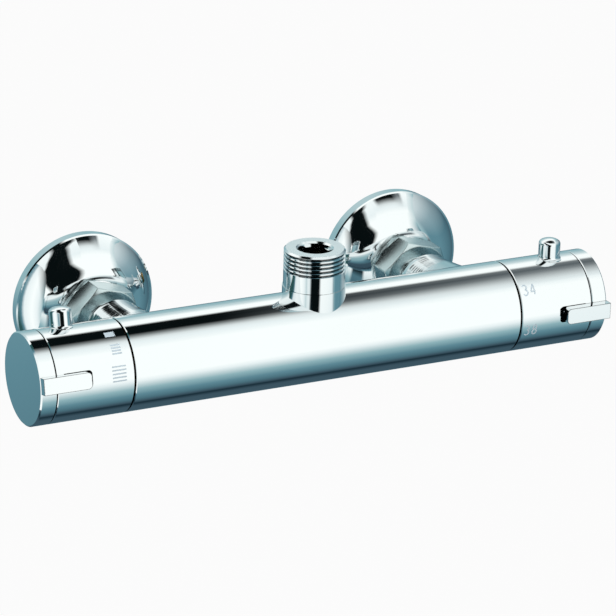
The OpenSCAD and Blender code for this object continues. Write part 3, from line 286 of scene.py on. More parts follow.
class NodeSheet:
    """Short ways to place and join the nodes of one material or world."""

    def __init__(self, tree):
        self.tree = tree

    def add(self, kind, **values):
        """A new node of a kind, with its own values set."""
        node = self.tree.nodes.new(kind)
        for name, value in values.items():
            setattr(node, name, value)
        return node

    def join(self, source, target):
        """Links an output to an input."""
        self.tree.links.new(source, target)

    def math(self, operation, a, b=None):
        """The result of a sum on numbers or outputs."""
        node = self.add("ShaderNodeMath", operation=operation)
        for slot, value in enumerate((a, b)):
            if value is None:
                continue
            if isinstance(value, (int, float)):
                node.inputs[slot].default_value = value
            else:
                self.join(value, node.inputs[slot])
        return node.outputs[0]

    def ramp(self, factor, stops):
        """Colours that follow a factor from 0 to 1, from places and colours."""
        node = self.add("ShaderNodeValToRGB")
        elements = node.color_ramp.elements
        while len(elements) > 1:
            elements.remove(elements[-1])
        for index, (place, colour) in enumerate(stops):
            stop = elements[0] if index == 0 else elements.new(place)
            stop.position = place
            stop.color = colour
        self.join(factor, node.inputs["Fac"])
        return node.outputs["Color"]

    def split(self, vector):
        """The x, y and z of a vector."""
        node = self.add("ShaderNodeSeparateXYZ")
        self.join(vector, node.inputs[0])
        return node.outputs["X"], node.outputs["Y"], node.outputs["Z"]

    def between(self, value, low, high):
        """How far a value has come from low to high, from 0 to 1."""
        node = self.add("ShaderNodeMapRange", clamp=True)
        node.inputs["From Min"].default_value = low
        node.inputs["From Max"].default_value = high
        self.join(value, node.inputs["Value"])
        return node.outputs["Result"]

    def mixed(self, factor, a, b):
        """Colour a where the factor is 0, and b where it is 1."""
        node = self.add("ShaderNodeMix", data_type="RGBA")
        self.join(factor, node.inputs["Factor"])
        for slot, colour in (("A", a), ("B", b)):
            socket = next(item for item in node.inputs if item.name == slot and item.type == "RGBA")
            if isinstance(colour, tuple):
                socket.default_value = colour
            else:
                self.join(colour, socket)
        return next(item for item in node.outputs if item.type == "RGBA")

    def seen_straight(self):
        """1 for rays from the camera, off a mirror or through glass, and 0 for the rest."""
        node = self.add("ShaderNodeLightPath")
        direct = self.math("MAXIMUM", node.outputs["Is Camera Ray"], node.outputs["Is Glossy Ray"])
        return self.math("MAXIMUM", direct, node.outputs["Is Transmission Ray"])


def new_material(name):
    """A material with only its Principled shader, with that shader and its node sheet."""
    material = bpy.data.materials.new(name)
    material.use_nodes = True
    sheet = NodeSheet(material.node_tree)
    return material, material.node_tree.nodes["Principled BSDF"], sheet


def surface_noise(sheet, place, scale, detail=4, stretch=(1, 1, 1)):
    """Noise over a surface, stretched along the object's axes."""
    mapping = sheet.add("ShaderNodeMapping")
    mapping.inputs["Scale"].default_value = stretch
    sheet.join(place, mapping.inputs["Vector"])
    noise = sheet.add("ShaderNodeTexNoise")
    noise.inputs["Scale"].default_value = scale
    noise.inputs["Detail"].default_value = detail
    sheet.join(mapping.outputs["Vector"], noise.inputs["Vector"])
    return noise.outputs["Fac"]


def raise_by(sheet, shader, height, depth, soft_edge=0):
    """Bump of the given depth in metres, on edges that look rounded by a radius where one is given."""
    bump = sheet.add("ShaderNodeBump")
    if soft_edge:
        round_off = sheet.add("ShaderNodeBevel", samples=BEVEL_SAMPLES)
        round_off.inputs["Radius"].default_value = soft_edge
        sheet.join(round_off.outputs["Normal"], bump.inputs["Normal"])
    bump.inputs["Distance"].default_value = depth
    bump.inputs["Strength"].default_value = 1.0
    sheet.join(height, bump.inputs["Height"])
    sheet.join(bump.outputs["Normal"], shader.inputs["Normal"])


def axis_radius(sheet, place, axis):
    """Distance from the bar's axis, or from the outlet's, of a point on a piece at rest."""
    x, y, z = sheet.split(place)
    deep = sheet.math("SUBTRACT", y, AXIS_Y)
    other = sheet.math("SUBTRACT", z, AXIS_Z) if axis == "bar" else x
    squares = [sheet.math("MULTIPLY", part, part) for part in (deep, other)]
    return sheet.math("SQRT", sheet.math("ADD", *squares))


def under(level, depths):
    """Places at depths in millimetres under a level."""
    return [level - depth * MM for depth in depths]


def painted_edge_shade_mask(sheet, radius):
    """Mask of the painted shade lines: 1 along the sharp edges of a piece, falling to 0 at the given
    distance from them.
    """
    round_off = sheet.add("ShaderNodeBevel", samples=BEVEL_SAMPLES)
    round_off.inputs["Radius"].default_value = radius
    alike = sheet.add("ShaderNodeVectorMath", operation="DOT_PRODUCT")
    sheet.join(round_off.outputs["Normal"], alike.inputs[0])
    sheet.join(sheet.add("ShaderNodeNewGeometry").outputs["Normal"], alike.inputs[1])
    return sheet.between(alike.outputs["Value"], *EDGE_COSINES)


def bare_inside(sheet, place, skin):
    """1 deeper under the bar's surface than the plate's skin."""
    radius = axis_radius(sheet, place, "bar")
    return sheet.between(radius, BAR_R - skin, BAR_R - skin - SKIN_FADE)


def groove_painted_shade(sheet, place):
    """Mask of the painted shade: 1 in the grooves of the outlet's thread, and 0 in its bore and on its
    top face.
    """
    radius = axis_radius(sheet, place, "outlet")
    groove = sheet.between(radius, *under(NIPPLE_R, GROOVE_DEPTHS))
    outside = sheet.between(radius, *under(NIPPLE_R, BORE_DEPTHS))
    below_top = sheet.between(sheet.split(place)[2], *under(NIPPLE_TOP, SHADE_DEPTHS))
    return sheet.math("MULTIPLY", sheet.math("MULTIPLY", groove, outside), below_top)


def turned_top(sheet, place):
    """1 on the turned top face of the outlet."""
    return sheet.between(sheet.split(place)[2], *under(NIPPLE_TOP, TURNED_DEPTHS))


def rougher(sheet, rough, where, amount):
    """Roughness raised by an amount where a mask is 1."""
    return sheet.math("ADD", rough, sheet.math("MULTIPLY", where, amount))


def chrome_material(
        name="chrome", tone=None, smoothest=None, inside=None, skin=0, thread=False, edge=0, soft_edge=0):
    """Polished plate. It may have a darker tone that is painted reflection, a bare inside or painted
    shade inside, a thread with painted shade in its grooves, painted shade lines along its edges, or
    edges that look rounded.
    """
    settings = bpy.context.scene.valve_plating
    material, shader, sheet = new_material(name)
    shader.inputs["Metallic"].default_value = 1.0
    place = sheet.add("ShaderNodeTexCoord").outputs["Object"]
    handled = surface_noise(sheet, place, HANDLED_SCALE)
    smeared = sheet.math("MULTIPLY", handled, settings.smear)
    rough = sheet.math("ADD", smeared, smoothest or settings.roughness)
    plate = (*(tone or settings.colour), 1)
    cloud = surface_noise(sheet, place, CLOUD_SCALE, 2)
    colour = sheet.ramp(cloud, list(zip(PLATE_CLOUD, (plate, tinted(plate, CLOUD_SHARE)))))
    # The inside shows bare brass on the body, and painted shade in the knobs and buttons
    if inside:
        bare = bare_inside(sheet, place, skin)
        colour = sheet.mixed(bare, colour, inside)
        rough = rougher(sheet, rough, bare, BARE_ROUGHER)
    # Painted shade in the thread's grooves, and a rougher turned top face
    if thread:
        colour = sheet.mixed(groove_painted_shade(sheet, place), colour, tinted(plate, PAINTED_GROOVE_SHADE_SHARE))
        rough = rougher(sheet, rough, turned_top(sheet, place), TURNED_ROUGHER)
    # Painted shade lines along the edges
    if edge:
        colour = sheet.mixed(painted_edge_shade_mask(sheet, edge), colour, tinted(plate, PAINTED_EDGE_SHADE_SHARE))
    sheet.join(colour, shader.inputs["Base Color"])
    sheet.join(rough, shader.inputs["Roughness"])
    raise_by(sheet, shader, surface_noise(sheet, place, WAVE_SCALE, 2), WAVE_HEIGHT, soft_edge)
    return material


def grained_material(name, colour, metallic, smooth, rough, scale, stretch, height, dark):
    """A bare material: clouds in its colour, and a grain in its roughness and height, in millimetres."""
    material, shader, sheet = new_material(name)
    shader.inputs["Metallic"].default_value = metallic
    place = sheet.add("ShaderNodeTexCoord").outputs["Object"]
    grain = surface_noise(sheet, place, scale, 5, stretch)
    cloud = surface_noise(sheet, place, BARE_CLOUD_SCALE, 3)
    light = (*colour, 1)
    tones = sheet.ramp(cloud, list(zip(BARE_CLOUD, (tinted(light, dark), light))))
    sheet.join(tones, shader.inputs["Base Color"])
    spread = sheet.math("MULTIPLY", grain, rough - smooth)
    sheet.join(sheet.math("ADD", spread, smooth), shader.inputs["Roughness"])
    raise_by(sheet, shader, grain, height * MM)
    return material


def brass_material(settings):
    """Turned brass, with fine marks round the bar's axis."""
    return grained_material(
        "brass", settings.brass, metallic=1, smooth=0.16, rough=0.42,
        scale=300, stretch=(9, 1, 1), height=0.004, dark=0.72)


def steel_material(settings):
    """Stainless steel, ground finer than the brass."""
    return grained_material(
        "steel", settings.steel, metallic=1, smooth=0.14, rough=0.36,
        scale=400, stretch=(6, 1, 1), height=0.003, dark=0.8)


def copper_material(settings):
    """Drawn copper with darker clouds of oxide."""
    return grained_material(
        "wax_copper", settings.copper, metallic=1, smooth=0.2, rough=0.5,
        scale=250, stretch=(1, 4, 4), height=0.004, dark=0.45)


def rubber_material(settings):
    """Moulded rubber, dull and slightly dusty."""
    return grained_material(
        "rubber", settings.rubber, metallic=0, smooth=0.45, rough=0.75,
        scale=900, stretch=(1, 1, 1), height=0.01, dark=0.7)


def white_plastic_material(settings):
    """White moulded plastic with a fine skin."""
    return grained_material(
        "white_plastic", settings.white, metallic=0, smooth=0.32, rough=0.55,
        scale=700, stretch=(1, 1, 1), height=0.006, dark=0.93)


def grey_plastic_material(settings):
    """Grey moulded plastic, filled and a little coarser."""
    return grained_material(
        "grey_plastic", settings.grey, metallic=0, smooth=0.35, rough=0.6,
        scale=700, stretch=(1, 1, 1), height=0.008, dark=0.8)


def ceramic_material(settings):
    """Lapped ceramic, nearly a mirror."""
    return grained_material(
        "ceramic", settings.ceramic, metallic=0, smooth=0.08, rough=0.2,
        scale=1200, stretch=(1, 1, 1), height=0.001, dark=0.95)


def mark_material(settings):
    """Satin marks, slightly uneven as if etched."""
    return grained_material(
        "satin_mark", settings.colour, metallic=0, smooth=0.4, rough=0.7,
        scale=900, stretch=(1, 1, 1), height=0.004, dark=0.9)


def nodes_of(slot):
    """Names of the nodes that the record gives a material slot."""
    return [part["node"] for part in frame["record"]["subparts"] if part["material_slot"] == slot]


def cover(names, material):
    """Gives nodes one material."""
    for name in names:
        piece = frame["nodes"][name]
        piece.data.materials.clear()
        piece.data.materials.append(material)


class VALVE_OT_chrome(bpy.types.Operator):
    """Plate the pieces that show with chrome"""

    bl_idname = "valve.chrome"
    bl_label = "Chrome"

    def execute(self, context):
        settings = context.scene.valve_plating
        cover(nodes_of("chrome"), chrome_material())
        cover(BRASS_INSIDE, chrome_material("chrome_on_brass", inside=RAW_BRASS, skin=settings.skin))
        # Painted shade inside the knobs and buttons, which shows in their slots
        cover(SHADE_PAINTED_INSIDE, chrome_material("chrome_shell", inside=UNLIT, skin=settings.shell_skin))
        cover(BUTTONS, chrome_material(
            "chrome_button", inside=UNLIT, skin=settings.shell_skin, edge=settings.edge))
        cover(OUTLET, chrome_material("chrome_thread", thread=True))
        # The nuts' darker tone is painted reflection
        cover(NUTS, chrome_material(
            "chrome_nut", tone=settings.nut_painted_reflection_tone, smoothest=settings.nut_roughness,
            soft_edge=settings.nut_edge))
        return {"FINISHED"}


class VALVE_OT_metals(bpy.types.Operator):
    """Finish the brass, steel and copper pieces"""

    bl_idname = "valve.metals"
    bl_label = "Bare metals"

    def execute(self, context):
        settings = context.scene.valve_inner
        cover(nodes_of("brass"), brass_material(settings))
        cover(nodes_of("steel"), steel_material(settings))
        cover(nodes_of("wax_copper"), copper_material(settings))
        return {"FINISHED"}


class VALVE_OT_plastics(bpy.types.Operator):
    """Finish the moulded plastic pieces"""

    bl_idname = "valve.plastics"
    bl_label = "Plastics"

    def execute(self, context):
        settings = context.scene.valve_inner
        cover(nodes_of("white_plastic"), white_plastic_material(settings))
        cover(nodes_of("grey_plastic"), grey_plastic_material(settings))
        return {"FINISHED"}


class VALVE_OT_seals(bpy.types.Operator):
    """Finish the rubber seals and the ceramic discs"""

    bl_idname = "valve.seals"
    bl_label = "Seals and discs"

    def execute(self, context):
        settings = context.scene.valve_inner
        cover(nodes_of("rubber"), rubber_material(settings))
        cover(nodes_of("ceramic"), ceramic_material(settings))
        return {"FINISHED"}


def arc(centre_x, centre_y, radius_x, radius_y, start, end, steps=14):
    """Points on an ellipse, with angles in degrees from the right and counted upwards."""
    points = []
    for step in range(steps + 1):
        angle = math.radians(start + (end - start) * step / steps)
        points.append((centre_x + radius_x * math.cos(angle), centre_y + radius_y * math.sin(angle)))
    return points


def three():
    """Strokes of a 3 that is 1 high, from its lower left."""
    return [arc(0.28, 0.75, 0.26, 0.22, 150, -90) + arc(0.28, 0.27, 0.29, 0.26, 90, -150)]


def four():
    """Strokes of a 4, in the same way."""
    return [[(0.46, 0.0), (0.46, 1.0)], [(0.42, 0.98), (0.0, 0.33)], [(0.0, 0.3), (0.64, 0.3)]]


def eight():
    """Strokes of an 8, in the same way."""
    return [arc(0.29, 0.75, 0.23, 0.22, -90, 270), arc(0.29, 0.27, 0.28, 0.26, 90, 450)]


# The digits that the marks use
DIGITS = {"3": three, "4": four, "8": eight}

# Width of a digit and step to the next one, as shares of the digit's height
DIGIT_WIDTH_SHARE = 0.74
ADVANCE_SHARE = 0.76


def wrap(x, arc_length, height):
    """A point on the bar: x along it, the arc's length from its top towards the front, and the height."""
    angle = arc_length / BAR_R
    radius = BAR_R + height
    return Vector((x, AXIS_Y - radius * math.sin(angle), AXIS_Z + radius * math.cos(angle)))


# Ends of a line closer than this share of its stroke's width meet, and a corner widens a stroke this much
# at most
CLOSED_SHARE = 0.1
WIDEST_CORNER = 2


def finely(points, step=0.4 * MM):
    """The same line with a point at least every step, so that it follows the bar's curve."""
    fine = [points[0]]
    for before, after in zip(points, points[1:]):
        count = max(1, math.ceil((Vector(after) - Vector(before)).length / step))
        for index in range(1, count + 1):
            share = index / count
            fine.append(tuple(a + (b - a) * share for a, b in zip(before, after)))
    return fine


def ribbon(mesh, points, width, proud):
    """A flat stroke of the given width along points of the bar's unrolled surface."""
    points = finely(points)
    closed = (Vector(points[0]) - Vector(points[-1])).length < width * CLOSED_SHARE
    rows = []
    count = len(points)
    for index in range(count - 1 if closed else count):
        here = Vector(points[index])
        before = Vector(points[index - 1] if index else points[-2 if closed else 0])
        after = Vector(points[(index + 1) % count])
        arriving = here - before
        leaving = after - here
        incoming = (arriving if arriving.length else leaving).normalized()
        outgoing = leaving.normalized() if leaving.length else incoming
        along = (incoming + outgoing).normalized()
        side = Vector((-along.y, along.x))
        reach = width / 2 / max(1 / WIDEST_CORNER, along.dot(incoming))
        row = []
        for height in (-proud, proud):
            for way in (-1, 1):
                spot = here + side * reach * way
                row.append(mesh.verts.new(wrap(spot.x, spot.y, height)))
        rows.append(row)
    spans = list(zip(rows, rows[1:]))
    if closed:
        spans.append((rows[-1], rows[0]))
    for near, far in spans:
        for a, b in ((0, 1), (1, 3), (3, 2), (2, 0)):
            mesh.faces.new((near[a], near[b], far[b], far[a]))
    if not closed:
        for low_left, low_right, high_left, high_right in (rows[0], rows[-1]):
            mesh.faces.new((low_left, low_right, high_right, high_left))


def finish_mesh(mesh, name, body, material):
    """Turns a bmesh into a piece that rides on a body."""
    bmesh.ops.recalc_face_normals(mesh, faces=mesh.faces[:])
    data = bpy.data.meshes.new(name)
    mesh.to_mesh(data)
    mesh.free()
    data.materials.append(material)
    piece = bpy.data.objects.new(name, data)
    bpy.context.scene.collection.objects.link(piece)
    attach(piece, body)
    return piece


def write_number(mesh, text, left, middle, settings):
    """Writes digits on the bar, from left, with their middle at an arc's length from the top."""
    advance = ADVANCE_SHARE * settings.height
    for index, digit in enumerate(text):
        for stroke in DIGITS[digit]():
            points = []
            for x, y in stroke:
                points.append((left + index * advance + x * DIGIT_WIDTH_SHARE * settings.height,
                               middle + (0.5 - y) * settings.height))
            ribbon(mesh, points, settings.stroke, settings.proud)


# Numbers of the temperature knob: text, millimetres from the knob's inner end, and degrees from the top
TEMPERATURE_MARKS = (("34", 1.8, 51.8), ("38", 1.6, 104.5))

# Marks of the flow knob: first one's degrees from the top, pitch in degrees, count, then in millimetres
# their inner and outer end from the knob's inner end, and their width
FLOW_MARKS = (
    (24.0, 1.8, 4, 4.8, 9.2, 0.66), (42.3, 3.67, 4, 4.1, 8.6, 0.7), (68.9, 4.4, 5, 3.5, 9.9, 0.6))


class VALVE_OT_numbers(bpy.types.Operator):
    """Write the numbers on the temperature knob"""

    bl_idname = "valve.numbers"
    bl_label = "Temperature numbers"

    def execute(self, context):
        settings = context.scene.valve_marks
        mesh = bmesh.new()
        for text, left, degrees in TEMPERATURE_MARKS:
            middle = BAR_R * math.radians(degrees)
            write_number(mesh, text, TEMPERATURE_INNER + left * MM, middle, settings)
        material = mark_material(settings)
        finish_mesh(mesh, "temperature_numbers", "temperature_control", material)
        return {"FINISHED"}


class VALVE_OT_flow_bars(bpy.types.Operator):
    """Draw the flow bars on the flow knob"""

    bl_idname = "valve.flow_bars"
    bl_label = "Flow bars"

    def execute(self, context):
        settings = context.scene.valve_marks
        mesh = bmesh.new()
        for start, pitch, count, inner, outer, width in FLOW_MARKS:
            for index in range(count):
                middle = BAR_R * math.radians(start + pitch * index)
                ends = [(FLOW_INNER - outer * MM, middle), (FLOW_INNER - inner * MM, middle)]
                ribbon(mesh, ends, width * MM, settings.proud)
        finish_mesh(mesh, "flow_bars", "flow_control", mark_material(settings))
        return {"FINISHED"}


# Tones of the studio
WHITE = shade(247, 250, 248)
PALE = shade(230, 237, 237)
MIST = shade(190, 207, 209)
HAZE = shade(140, 174, 180)
TEAL = shade(92, 132, 144)
DEEP_TEAL = shade(74, 110, 122)
SLATE = shade(58, 80, 92)
INK = shade(22, 42, 52)
DARK_GREEN = shade(45, 82, 82)
BLACK = shade(7, 13, 14)
CLEAR = (0, 0, 0, 1)
SOLID = (1, 1, 1, 1)


def grey(level):
    """A scene-linear grey, which also carries a number or a mask."""
    return (level, level, level, 1)


# Bands of the tent by their angle round the bar: 0 is above it, 90 in front and -90 at the wall
TENT_BANDS = [
    (-180, INK), (-166, SLATE), (-135, SLATE), (-112, TEAL), (-90, HAZE), (-78, HAZE), (-58, MIST),
    (-46, WHITE), (-35, WHITE), (20, PALE), (36, WHITE), (104, WHITE), (113, PALE), (123, MIST),
    (133, HAZE), (150, TEAL), (163, DEEP_TEAL), (173, SLATE), (180, INK)]

# What those bands turn to at the right end of the tent
RIGHT_RIM = [
    (-34, HAZE), (-16, MIST), (50, MIST), (66, HAZE), (82, TEAL), (113, TEAL), (150, DEEP_TEAL)]

# The black flag far over the bar, as its bands at its dense left end and its thin right end
FLAG_LEFT = [
    (-35, CLEAR), (-29, SOLID), (-5, SOLID), (2, grey(0.75)), (12, grey(0.15)), (19, CLEAR)]
FLAG_RIGHT = [
    (-35, CLEAR), (-28, grey(0.83)), (-18, grey(0.9)), (-8, grey(0.78)), (2, grey(0.52)),
    (16, grey(0.15)), (26, CLEAR)]

# The window over the bar: its two places along the tent and its two angles
WINDOW = (0.0, 0.46, -42, 33)

# The far sheet behind the window: its two ends, and how many degrees wider than the window it is
FAR_ENDS = (-1.2, 4)
FAR_MARGIN = 15

# The opening that the camera stands in: angle round the bar, then its left and right edge along the tent
OPENING = [
    (-30, -0.22, 0.03), (-16, -0.28, 0.0), (-10, -0.30, -0.06), (-3, -0.34, -0.12),
    (8, -0.46, -0.125), (16, -0.51, -0.135), (24, -0.59, -0.135), (40, -0.60, -0.12),
    (48, -0.60, -0.08), (56, -0.60, -0.03), (64, -0.55, 0.015), (72, -0.46, 0.03), (80, -0.37, 0.03),
    (90, -0.33, 0.02), (104, -0.36, -0.03), (113, -0.38, -0.05), (180, -0.38, -0.12)]

# Angles between which the opening's upper end is soft, and what shows in the opening by its angle
OPENING_TOP = (-32, -24)
OPENING_BANDS = [(-180, BLACK), (112, BLACK), (121, DEEP_TEAL), (160, SLATE)]

# A teal screen left of the opening: places between which it comes in, and how much shows by its angle
SCREEN_EDGE = (-0.3, -0.36)
SCREEN = [(84, CLEAR), (89, SOLID), (106, SOLID), (114, CLEAR)]

# A dark sheet behind the bar's right half, in the same way
BACK_EDGE = (-0.1, 0.02)
BACK_SHEET = [(-132, CLEAR), (-122, SOLID), (-99, SOLID), (-86, CLEAR)]

# The two ends of the tent, by how far towards the wall a place is
LEFT_END = [
    (-0.5, HAZE), (-0.42, MIST), (-0.3, PALE), (-0.15, WHITE), (0.03, PALE), (0.1, TEAL),
    (0.18, DARK_GREEN)]
RIGHT_END = [(-0.46, HAZE), (-0.36, TEAL), (-0.12, TEAL), (0.2, DEEP_TEAL), (0.5, SLATE)]

# How much of the opening's black the left end's upper front has, and of the pale top the right end
LEFT_CORNER = [(0.2, CLEAR), (0.3, grey(0.5)), (0.36, grey(0.9))]
RIGHT_TOP = [
    (0, CLEAR), (0.1, grey(0.1)), (0.2, grey(0.2)), (0.3, grey(0.38)), (0.4, grey(0.56)),
    (0.5, grey(0.7))]

# Ends of the tent: name, side, gradient, then the second one's lean to the front, its shares and its tone
TENT_ENDS = (
    ("tent_left_end", -1, LEFT_END, 0.5, LEFT_CORNER, BLACK),
    ("tent_right_end", 1, RIGHT_END, 0, RIGHT_TOP, PALE))

# Degrees of a tube that one of its faces spans
TUBE_STEP = 3

# Share of pure white that the floor shows, its own colour and roughness, and the world's plain light
FLOOR_WHITE = 0.93
FLOOR_TONE = (0.9, 0.9, 0.9, 1)
FLOOR_ROUGHNESS = 0.9
WORLD_LIGHT = 0.55

# Where the lamp hangs and what it points at
LAMP_PLACE = Vector((-0.3, -1.0, 1.1))
LAMP_TARGET = Vector((0, -0.07, 0))


def by_angle(sheet, angle, bands):
    """Colours that follow an angle in radians, from bands in degrees."""
    share = sheet.math("ADD", sheet.math("DIVIDE", angle, 2 * math.pi), 0.5)
    return sheet.ramp(share, [((degrees + 180) / 360, tone) for degrees, tone in bands])


def by_place(sheet, place, half, bands):
    """Colours that follow a place from -half to half, from bands in metres."""
    share = sheet.between(place, -half, half)
    return sheet.ramp(share, [((metres / half + 1) / 2, tone) for metres, tone in bands])


def tent_places(sheet):
    """Place on the tent seen from the bar's middle: along the bar, towards the front and up."""
    x, y, z = sheet.split(sheet.add("ShaderNodeNewGeometry").outputs["Position"])
    return x, sheet.math("SUBTRACT", AXIS_Y, y), sheet.math("SUBTRACT", z, AXIS_Z)


def panel(sheet, angle, along, edge, bands):
    """How much of a panel on the tent shows, from its soft edge along the tent and its bands."""
    return sheet.math("MULTIPLY", sheet.between(along, *edge), by_angle(sheet, angle, bands))


def past_edge(sheet, angle, along, column, soft):
    """0 before one edge of the camera's opening and 1 past it, or the other way with soft below 0."""
    line = by_angle(sheet, angle, [(row[0], grey(row[column] + 1)) for row in OPENING])
    place = sheet.math("SUBTRACT", along, sheet.math("SUBTRACT", line, 1))
    return sheet.between(place, -soft, soft)


def opening_mask(sheet, settings, angle, along):
    """1 in the opening that the camera stands in, with soft edges."""
    inside_left = past_edge(sheet, angle, along, 1, settings.left_edge)
    inside_right = past_edge(sheet, angle, along, 2, -settings.right_edge)
    below_top = sheet.between(angle, *(math.radians(degrees) for degrees in OPENING_TOP))
    return sheet.math("MULTIPLY", sheet.math("MULTIPLY", inside_left, inside_right), below_top)


def tube_colour(sheet, settings):
    """Softbox in front, gradient below, right rim, two darker panels and the camera's black opening."""
    along, front, above = tent_places(sheet)
    angle = sheet.math("ARCTAN2", front, above)
    fade = sheet.between(along, settings.fade_start, settings.fade_end)
    colour = sheet.mixed(fade, by_angle(sheet, angle, TENT_BANDS), by_angle(sheet, angle, RIGHT_RIM))
    colour = sheet.mixed(panel(sheet, angle, along, SCREEN_EDGE, SCREEN), colour, TEAL)
    colour = sheet.mixed(panel(sheet, angle, along, BACK_EDGE, BACK_SHEET), colour, DEEP_TEAL)
    opening = opening_mask(sheet, settings, angle, along)
    return sheet.mixed(opening, colour, by_angle(sheet, angle, OPENING_BANDS))


def flag_colour(sheet, settings):
    """The black flag over the bar, dense at its left end and thin at its right one."""
    along, front, above = tent_places(sheet)
    angle = sheet.math("ARCTAN2", front, above)
    right = sheet.between(along, settings.flag_dense, settings.flag_thin)
    flag = sheet.mixed(right, by_angle(sheet, angle, FLAG_LEFT), by_angle(sheet, angle, FLAG_RIGHT))
    starts = sheet.between(along, settings.flag_from - settings.flag_soft, settings.flag_from)
    stops = sheet.between(along, settings.flag_to + settings.flag_soft, settings.flag_to)
    flag = sheet.mixed(sheet.math("MULTIPLY", starts, stops), CLEAR, flag)
    return sheet.mixed(flag, by_angle(sheet, angle, TENT_BANDS), sheet.mixed(right, BLACK, INK))


def end_colour(sheet, settings, bands, leaning, upper, upper_tone):
    """Gradient on an end of the tent towards the wall, and one upwards that may lean to the front."""
    _, front, above = tent_places(sheet)
    half = settings.tent_radius
    colour = by_place(sheet, sheet.math("MULTIPLY", front, -1), half, bands)
    lifted = sheet.math("MULTIPLY", above, 1 - leaning)
    height = sheet.math("ADD", lifted, sheet.math("MULTIPLY", front, leaning))
    return sheet.mixed(by_place(sheet, height, half, upper), colour, upper_tone)


def glow_material(name, settings, painter, *details):
    """Emission that mirror rays see on a piece of the tent."""
    material = bpy.data.materials.new(name)
    material.use_nodes = True
    tree = material.node_tree
    tree.nodes.clear()
    sheet = NodeSheet(tree)
    glow = sheet.add("ShaderNodeEmission")
    glow.inputs["Strength"].default_value = settings.tent_strength
    sheet.join(painter(sheet, settings, *details), glow.inputs["Color"])
    sheet.join(glow.outputs[0], sheet.add("ShaderNodeOutputMaterial").inputs["Surface"])
    return material


def stage_piece(mesh, name, material):
    """A piece of the studio."""
    data = bpy.data.meshes.new(name)
    mesh.to_mesh(data)
    mesh.free()
    data.materials.append(material)
    piece = bpy.data.objects.new(name, data)
    bpy.context.scene.collection.objects.link(piece)
    return piece


def tent_piece(mesh, name, material):
    """A piece of the tent, which only mirrors see."""
    piece = stage_piece(mesh, name, material)
    piece.visible_camera = False
    piece.visible_diffuse = False
    piece.visible_shadow = False


def tube_part(radius, start, end, first, last):
    """Part of a tube round the bar, from a place along it to another and from an angle to another."""
    mesh = bmesh.new()
    count = max(2, round((last - first) / TUBE_STEP))
    rows = []
    for index in range(count + 1):
        angle = math.radians(first + (last - first) * index / count)
        y = AXIS_Y - radius * math.sin(angle)
        z = AXIS_Z + radius * math.cos(angle)
        rows.append([mesh.verts.new((x, y, z)) for x in (start, end)])
    for low, high in zip(rows, rows[1:]):
        mesh.faces.new((low[0], low[1], high[1], high[0]))
    return mesh


def build_tent(settings):
    """A round light tent along the bar, with an end at each side."""
    radius = settings.tent_radius
    half = settings.tent_half
    centre = Vector((0, AXIS_Y, AXIS_Z))
    along_x = Matrix.Rotation(math.pi / 2, 4, "Y")
    glow = glow_material("tent", settings, tube_colour)
    left, right, back, front = WINDOW
    tent_piece(tube_part(radius, -half, left, -180, 180), "tent_left", glow)
    tent_piece(tube_part(radius, left, right, front, back + 360), "tent_middle", glow)
    tent_piece(tube_part(radius, right, half, -180, 180), "tent_right", glow)
    far = tube_part(settings.flag_radius, *FAR_ENDS, back - FAR_MARGIN, front + FAR_MARGIN)
    tent_piece(far, "far_sheet", glow_material("far_sheet", settings, flag_colour))
    for name, side, *tones in TENT_ENDS:
        end = bmesh.new()
        bmesh.ops.create_circle(
            end, segments=128, radius=radius, cap_ends=True,
            matrix=Matrix.Translation(centre + Vector((side * half, 0, 0))) @ along_x)
        tent_piece(end, name, glow_material(name, settings, end_colour, *tones))


def build_floor(settings):
    """A plain pale floor, white to the camera."""
    material, shader, sheet = new_material("floor")
    shader.inputs["Base Color"].default_value = FLOOR_TONE
    shader.inputs["Roughness"].default_value = FLOOR_ROUGHNESS
    glow = sheet.add("ShaderNodeEmission")
    blend = sheet.add("ShaderNodeMixShader")
    sheet.join(sheet.math("MULTIPLY", sheet.seen_straight(), FLOOR_WHITE), blend.inputs["Fac"])
    sheet.join(shader.outputs[0], blend.inputs[1])
    sheet.join(glow.outputs[0], blend.inputs[2])
    out = material.node_tree.nodes["Material Output"]
    sheet.join(blend.outputs[0], out.inputs["Surface"])
    mesh = bmesh.new()
    bmesh.ops.create_circle(
        mesh, segments=64, radius=settings.floor_radius, cap_ends=True,
        matrix=Matrix.Translation((0, 0, AXIS_Z - settings.floor_drop)))
    stage_piece(mesh, "floor", material)


def build_world():
    """A white world for what is seen straight or mirrored, and a plain grey one as light."""
    world = bpy.data.worlds.new("studio")
    bpy.context.scene.world = world
    world.use_nodes = True
    sheet = NodeSheet(world.node_tree)
    brighter = sheet.math("MULTIPLY", sheet.seen_straight(), 1 - WORLD_LIGHT)
    strength = sheet.math("ADD", brighter, WORLD_LIGHT)
    back = world.node_tree.nodes["Background"]
    back.inputs["Color"].default_value = (1, 1, 1, 1)
    sheet.join(strength, back.inputs["Strength"])


def build_lamp(settings):
    """A wide soft lamp over the front, which mirrors don't show."""
    data = bpy.data.lights.new("softbox", "AREA")
    data.shape = "RECTANGLE"
    data.size = settings.lamp_width
    data.size_y = settings.lamp_height
    data.energy = settings.lamp_power
    lamp = bpy.data.objects.new("softbox", data)
    lamp.location = LAMP_PLACE
    lamp.rotation_euler = (LAMP_TARGET - LAMP_PLACE).to_track_quat("-Z", "Y").to_euler()
    lamp.visible_glossy = False
    bpy.context.scene.collection.objects.link(lamp)


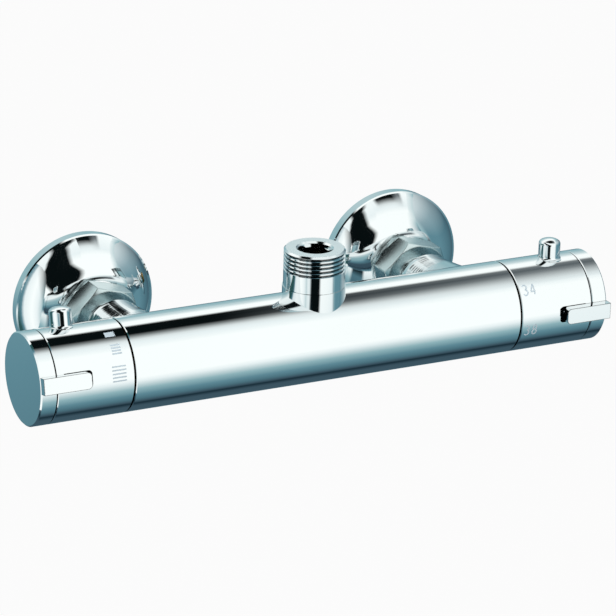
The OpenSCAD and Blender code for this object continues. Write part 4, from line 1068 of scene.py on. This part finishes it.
def build_camera(settings):
    """The camera at the photograph's viewing angle."""
    lens = bpy.data.cameras.new("camera")
    lens.sensor_width = 36
    lens.lens = settings.camera_lens
    lens.clip_start = 0.05
    lens.clip_end = 20
    camera = bpy.data.objects.new("camera", lens)
    right = Vector(settings.camera_right).normalized()
    back = right.cross(Vector(settings.camera_up)).normalized()
    turn = Matrix((right, back.cross(right), back)).transposed()
    camera.matrix_world = Matrix.Translation(settings.camera_place) @ turn.to_4x4()
    bpy.context.scene.collection.objects.link(camera)
    bpy.context.scene.camera = camera


class VALVE_OT_studio(bpy.types.Operator):
    """Set up the camera, the tent, the floor and the light"""

    bl_idname = "valve.studio"
    bl_label = "Studio"

    def execute(self, context):
        settings = context.scene.valve_studio
        build_camera(settings)
        build_world()
        build_tent(settings)
        build_floor(settings)
        build_lamp(settings)
        context.scene.view_settings.view_transform = "Standard"
        return {"FINISHED"}


class VALVE_PT_panel(bpy.types.Panel):
    """Steps that dress the valve"""

    bl_idname = "VALVE_PT_panel"
    bl_label = "Shower Valve"
    bl_space_type = "VIEW_3D"
    bl_region_type = "UI"
    bl_category = "Valve"

    def draw(self, context):
        for step in STEPS:
            self.layout.operator(step.bl_idname)


STEPS = (
    VALVE_OT_studio, VALVE_OT_chrome, VALVE_OT_metals, VALVE_OT_plastics, VALVE_OT_seals,
    VALVE_OT_numbers, VALVE_OT_flow_bars)
CLASSES = (PlatingSettings, InnerSettings, MarkSettings, StudioSettings, *STEPS, VALVE_PT_panel)


def register():
    for kind in CLASSES:
        bpy.utils.register_class(kind)
    bpy.types.Scene.valve_plating = PointerProperty(type=PlatingSettings)
    bpy.types.Scene.valve_inner = PointerProperty(type=InnerSettings)
    bpy.types.Scene.valve_marks = PointerProperty(type=MarkSettings)
    bpy.types.Scene.valve_studio = PointerProperty(type=StudioSettings)


def unregister():
    del bpy.types.Scene.valve_studio
    del bpy.types.Scene.valve_marks
    del bpy.types.Scene.valve_inner
    del bpy.types.Scene.valve_plating
    for kind in reversed(CLASSES):
        bpy.utils.unregister_class(kind)


def main():
    register()
    for step in STEPS:
        group, action = step.bl_idname.split(".")
        getattr(getattr(bpy.ops, group), action)()


if __name__ == "__main__":
    main()
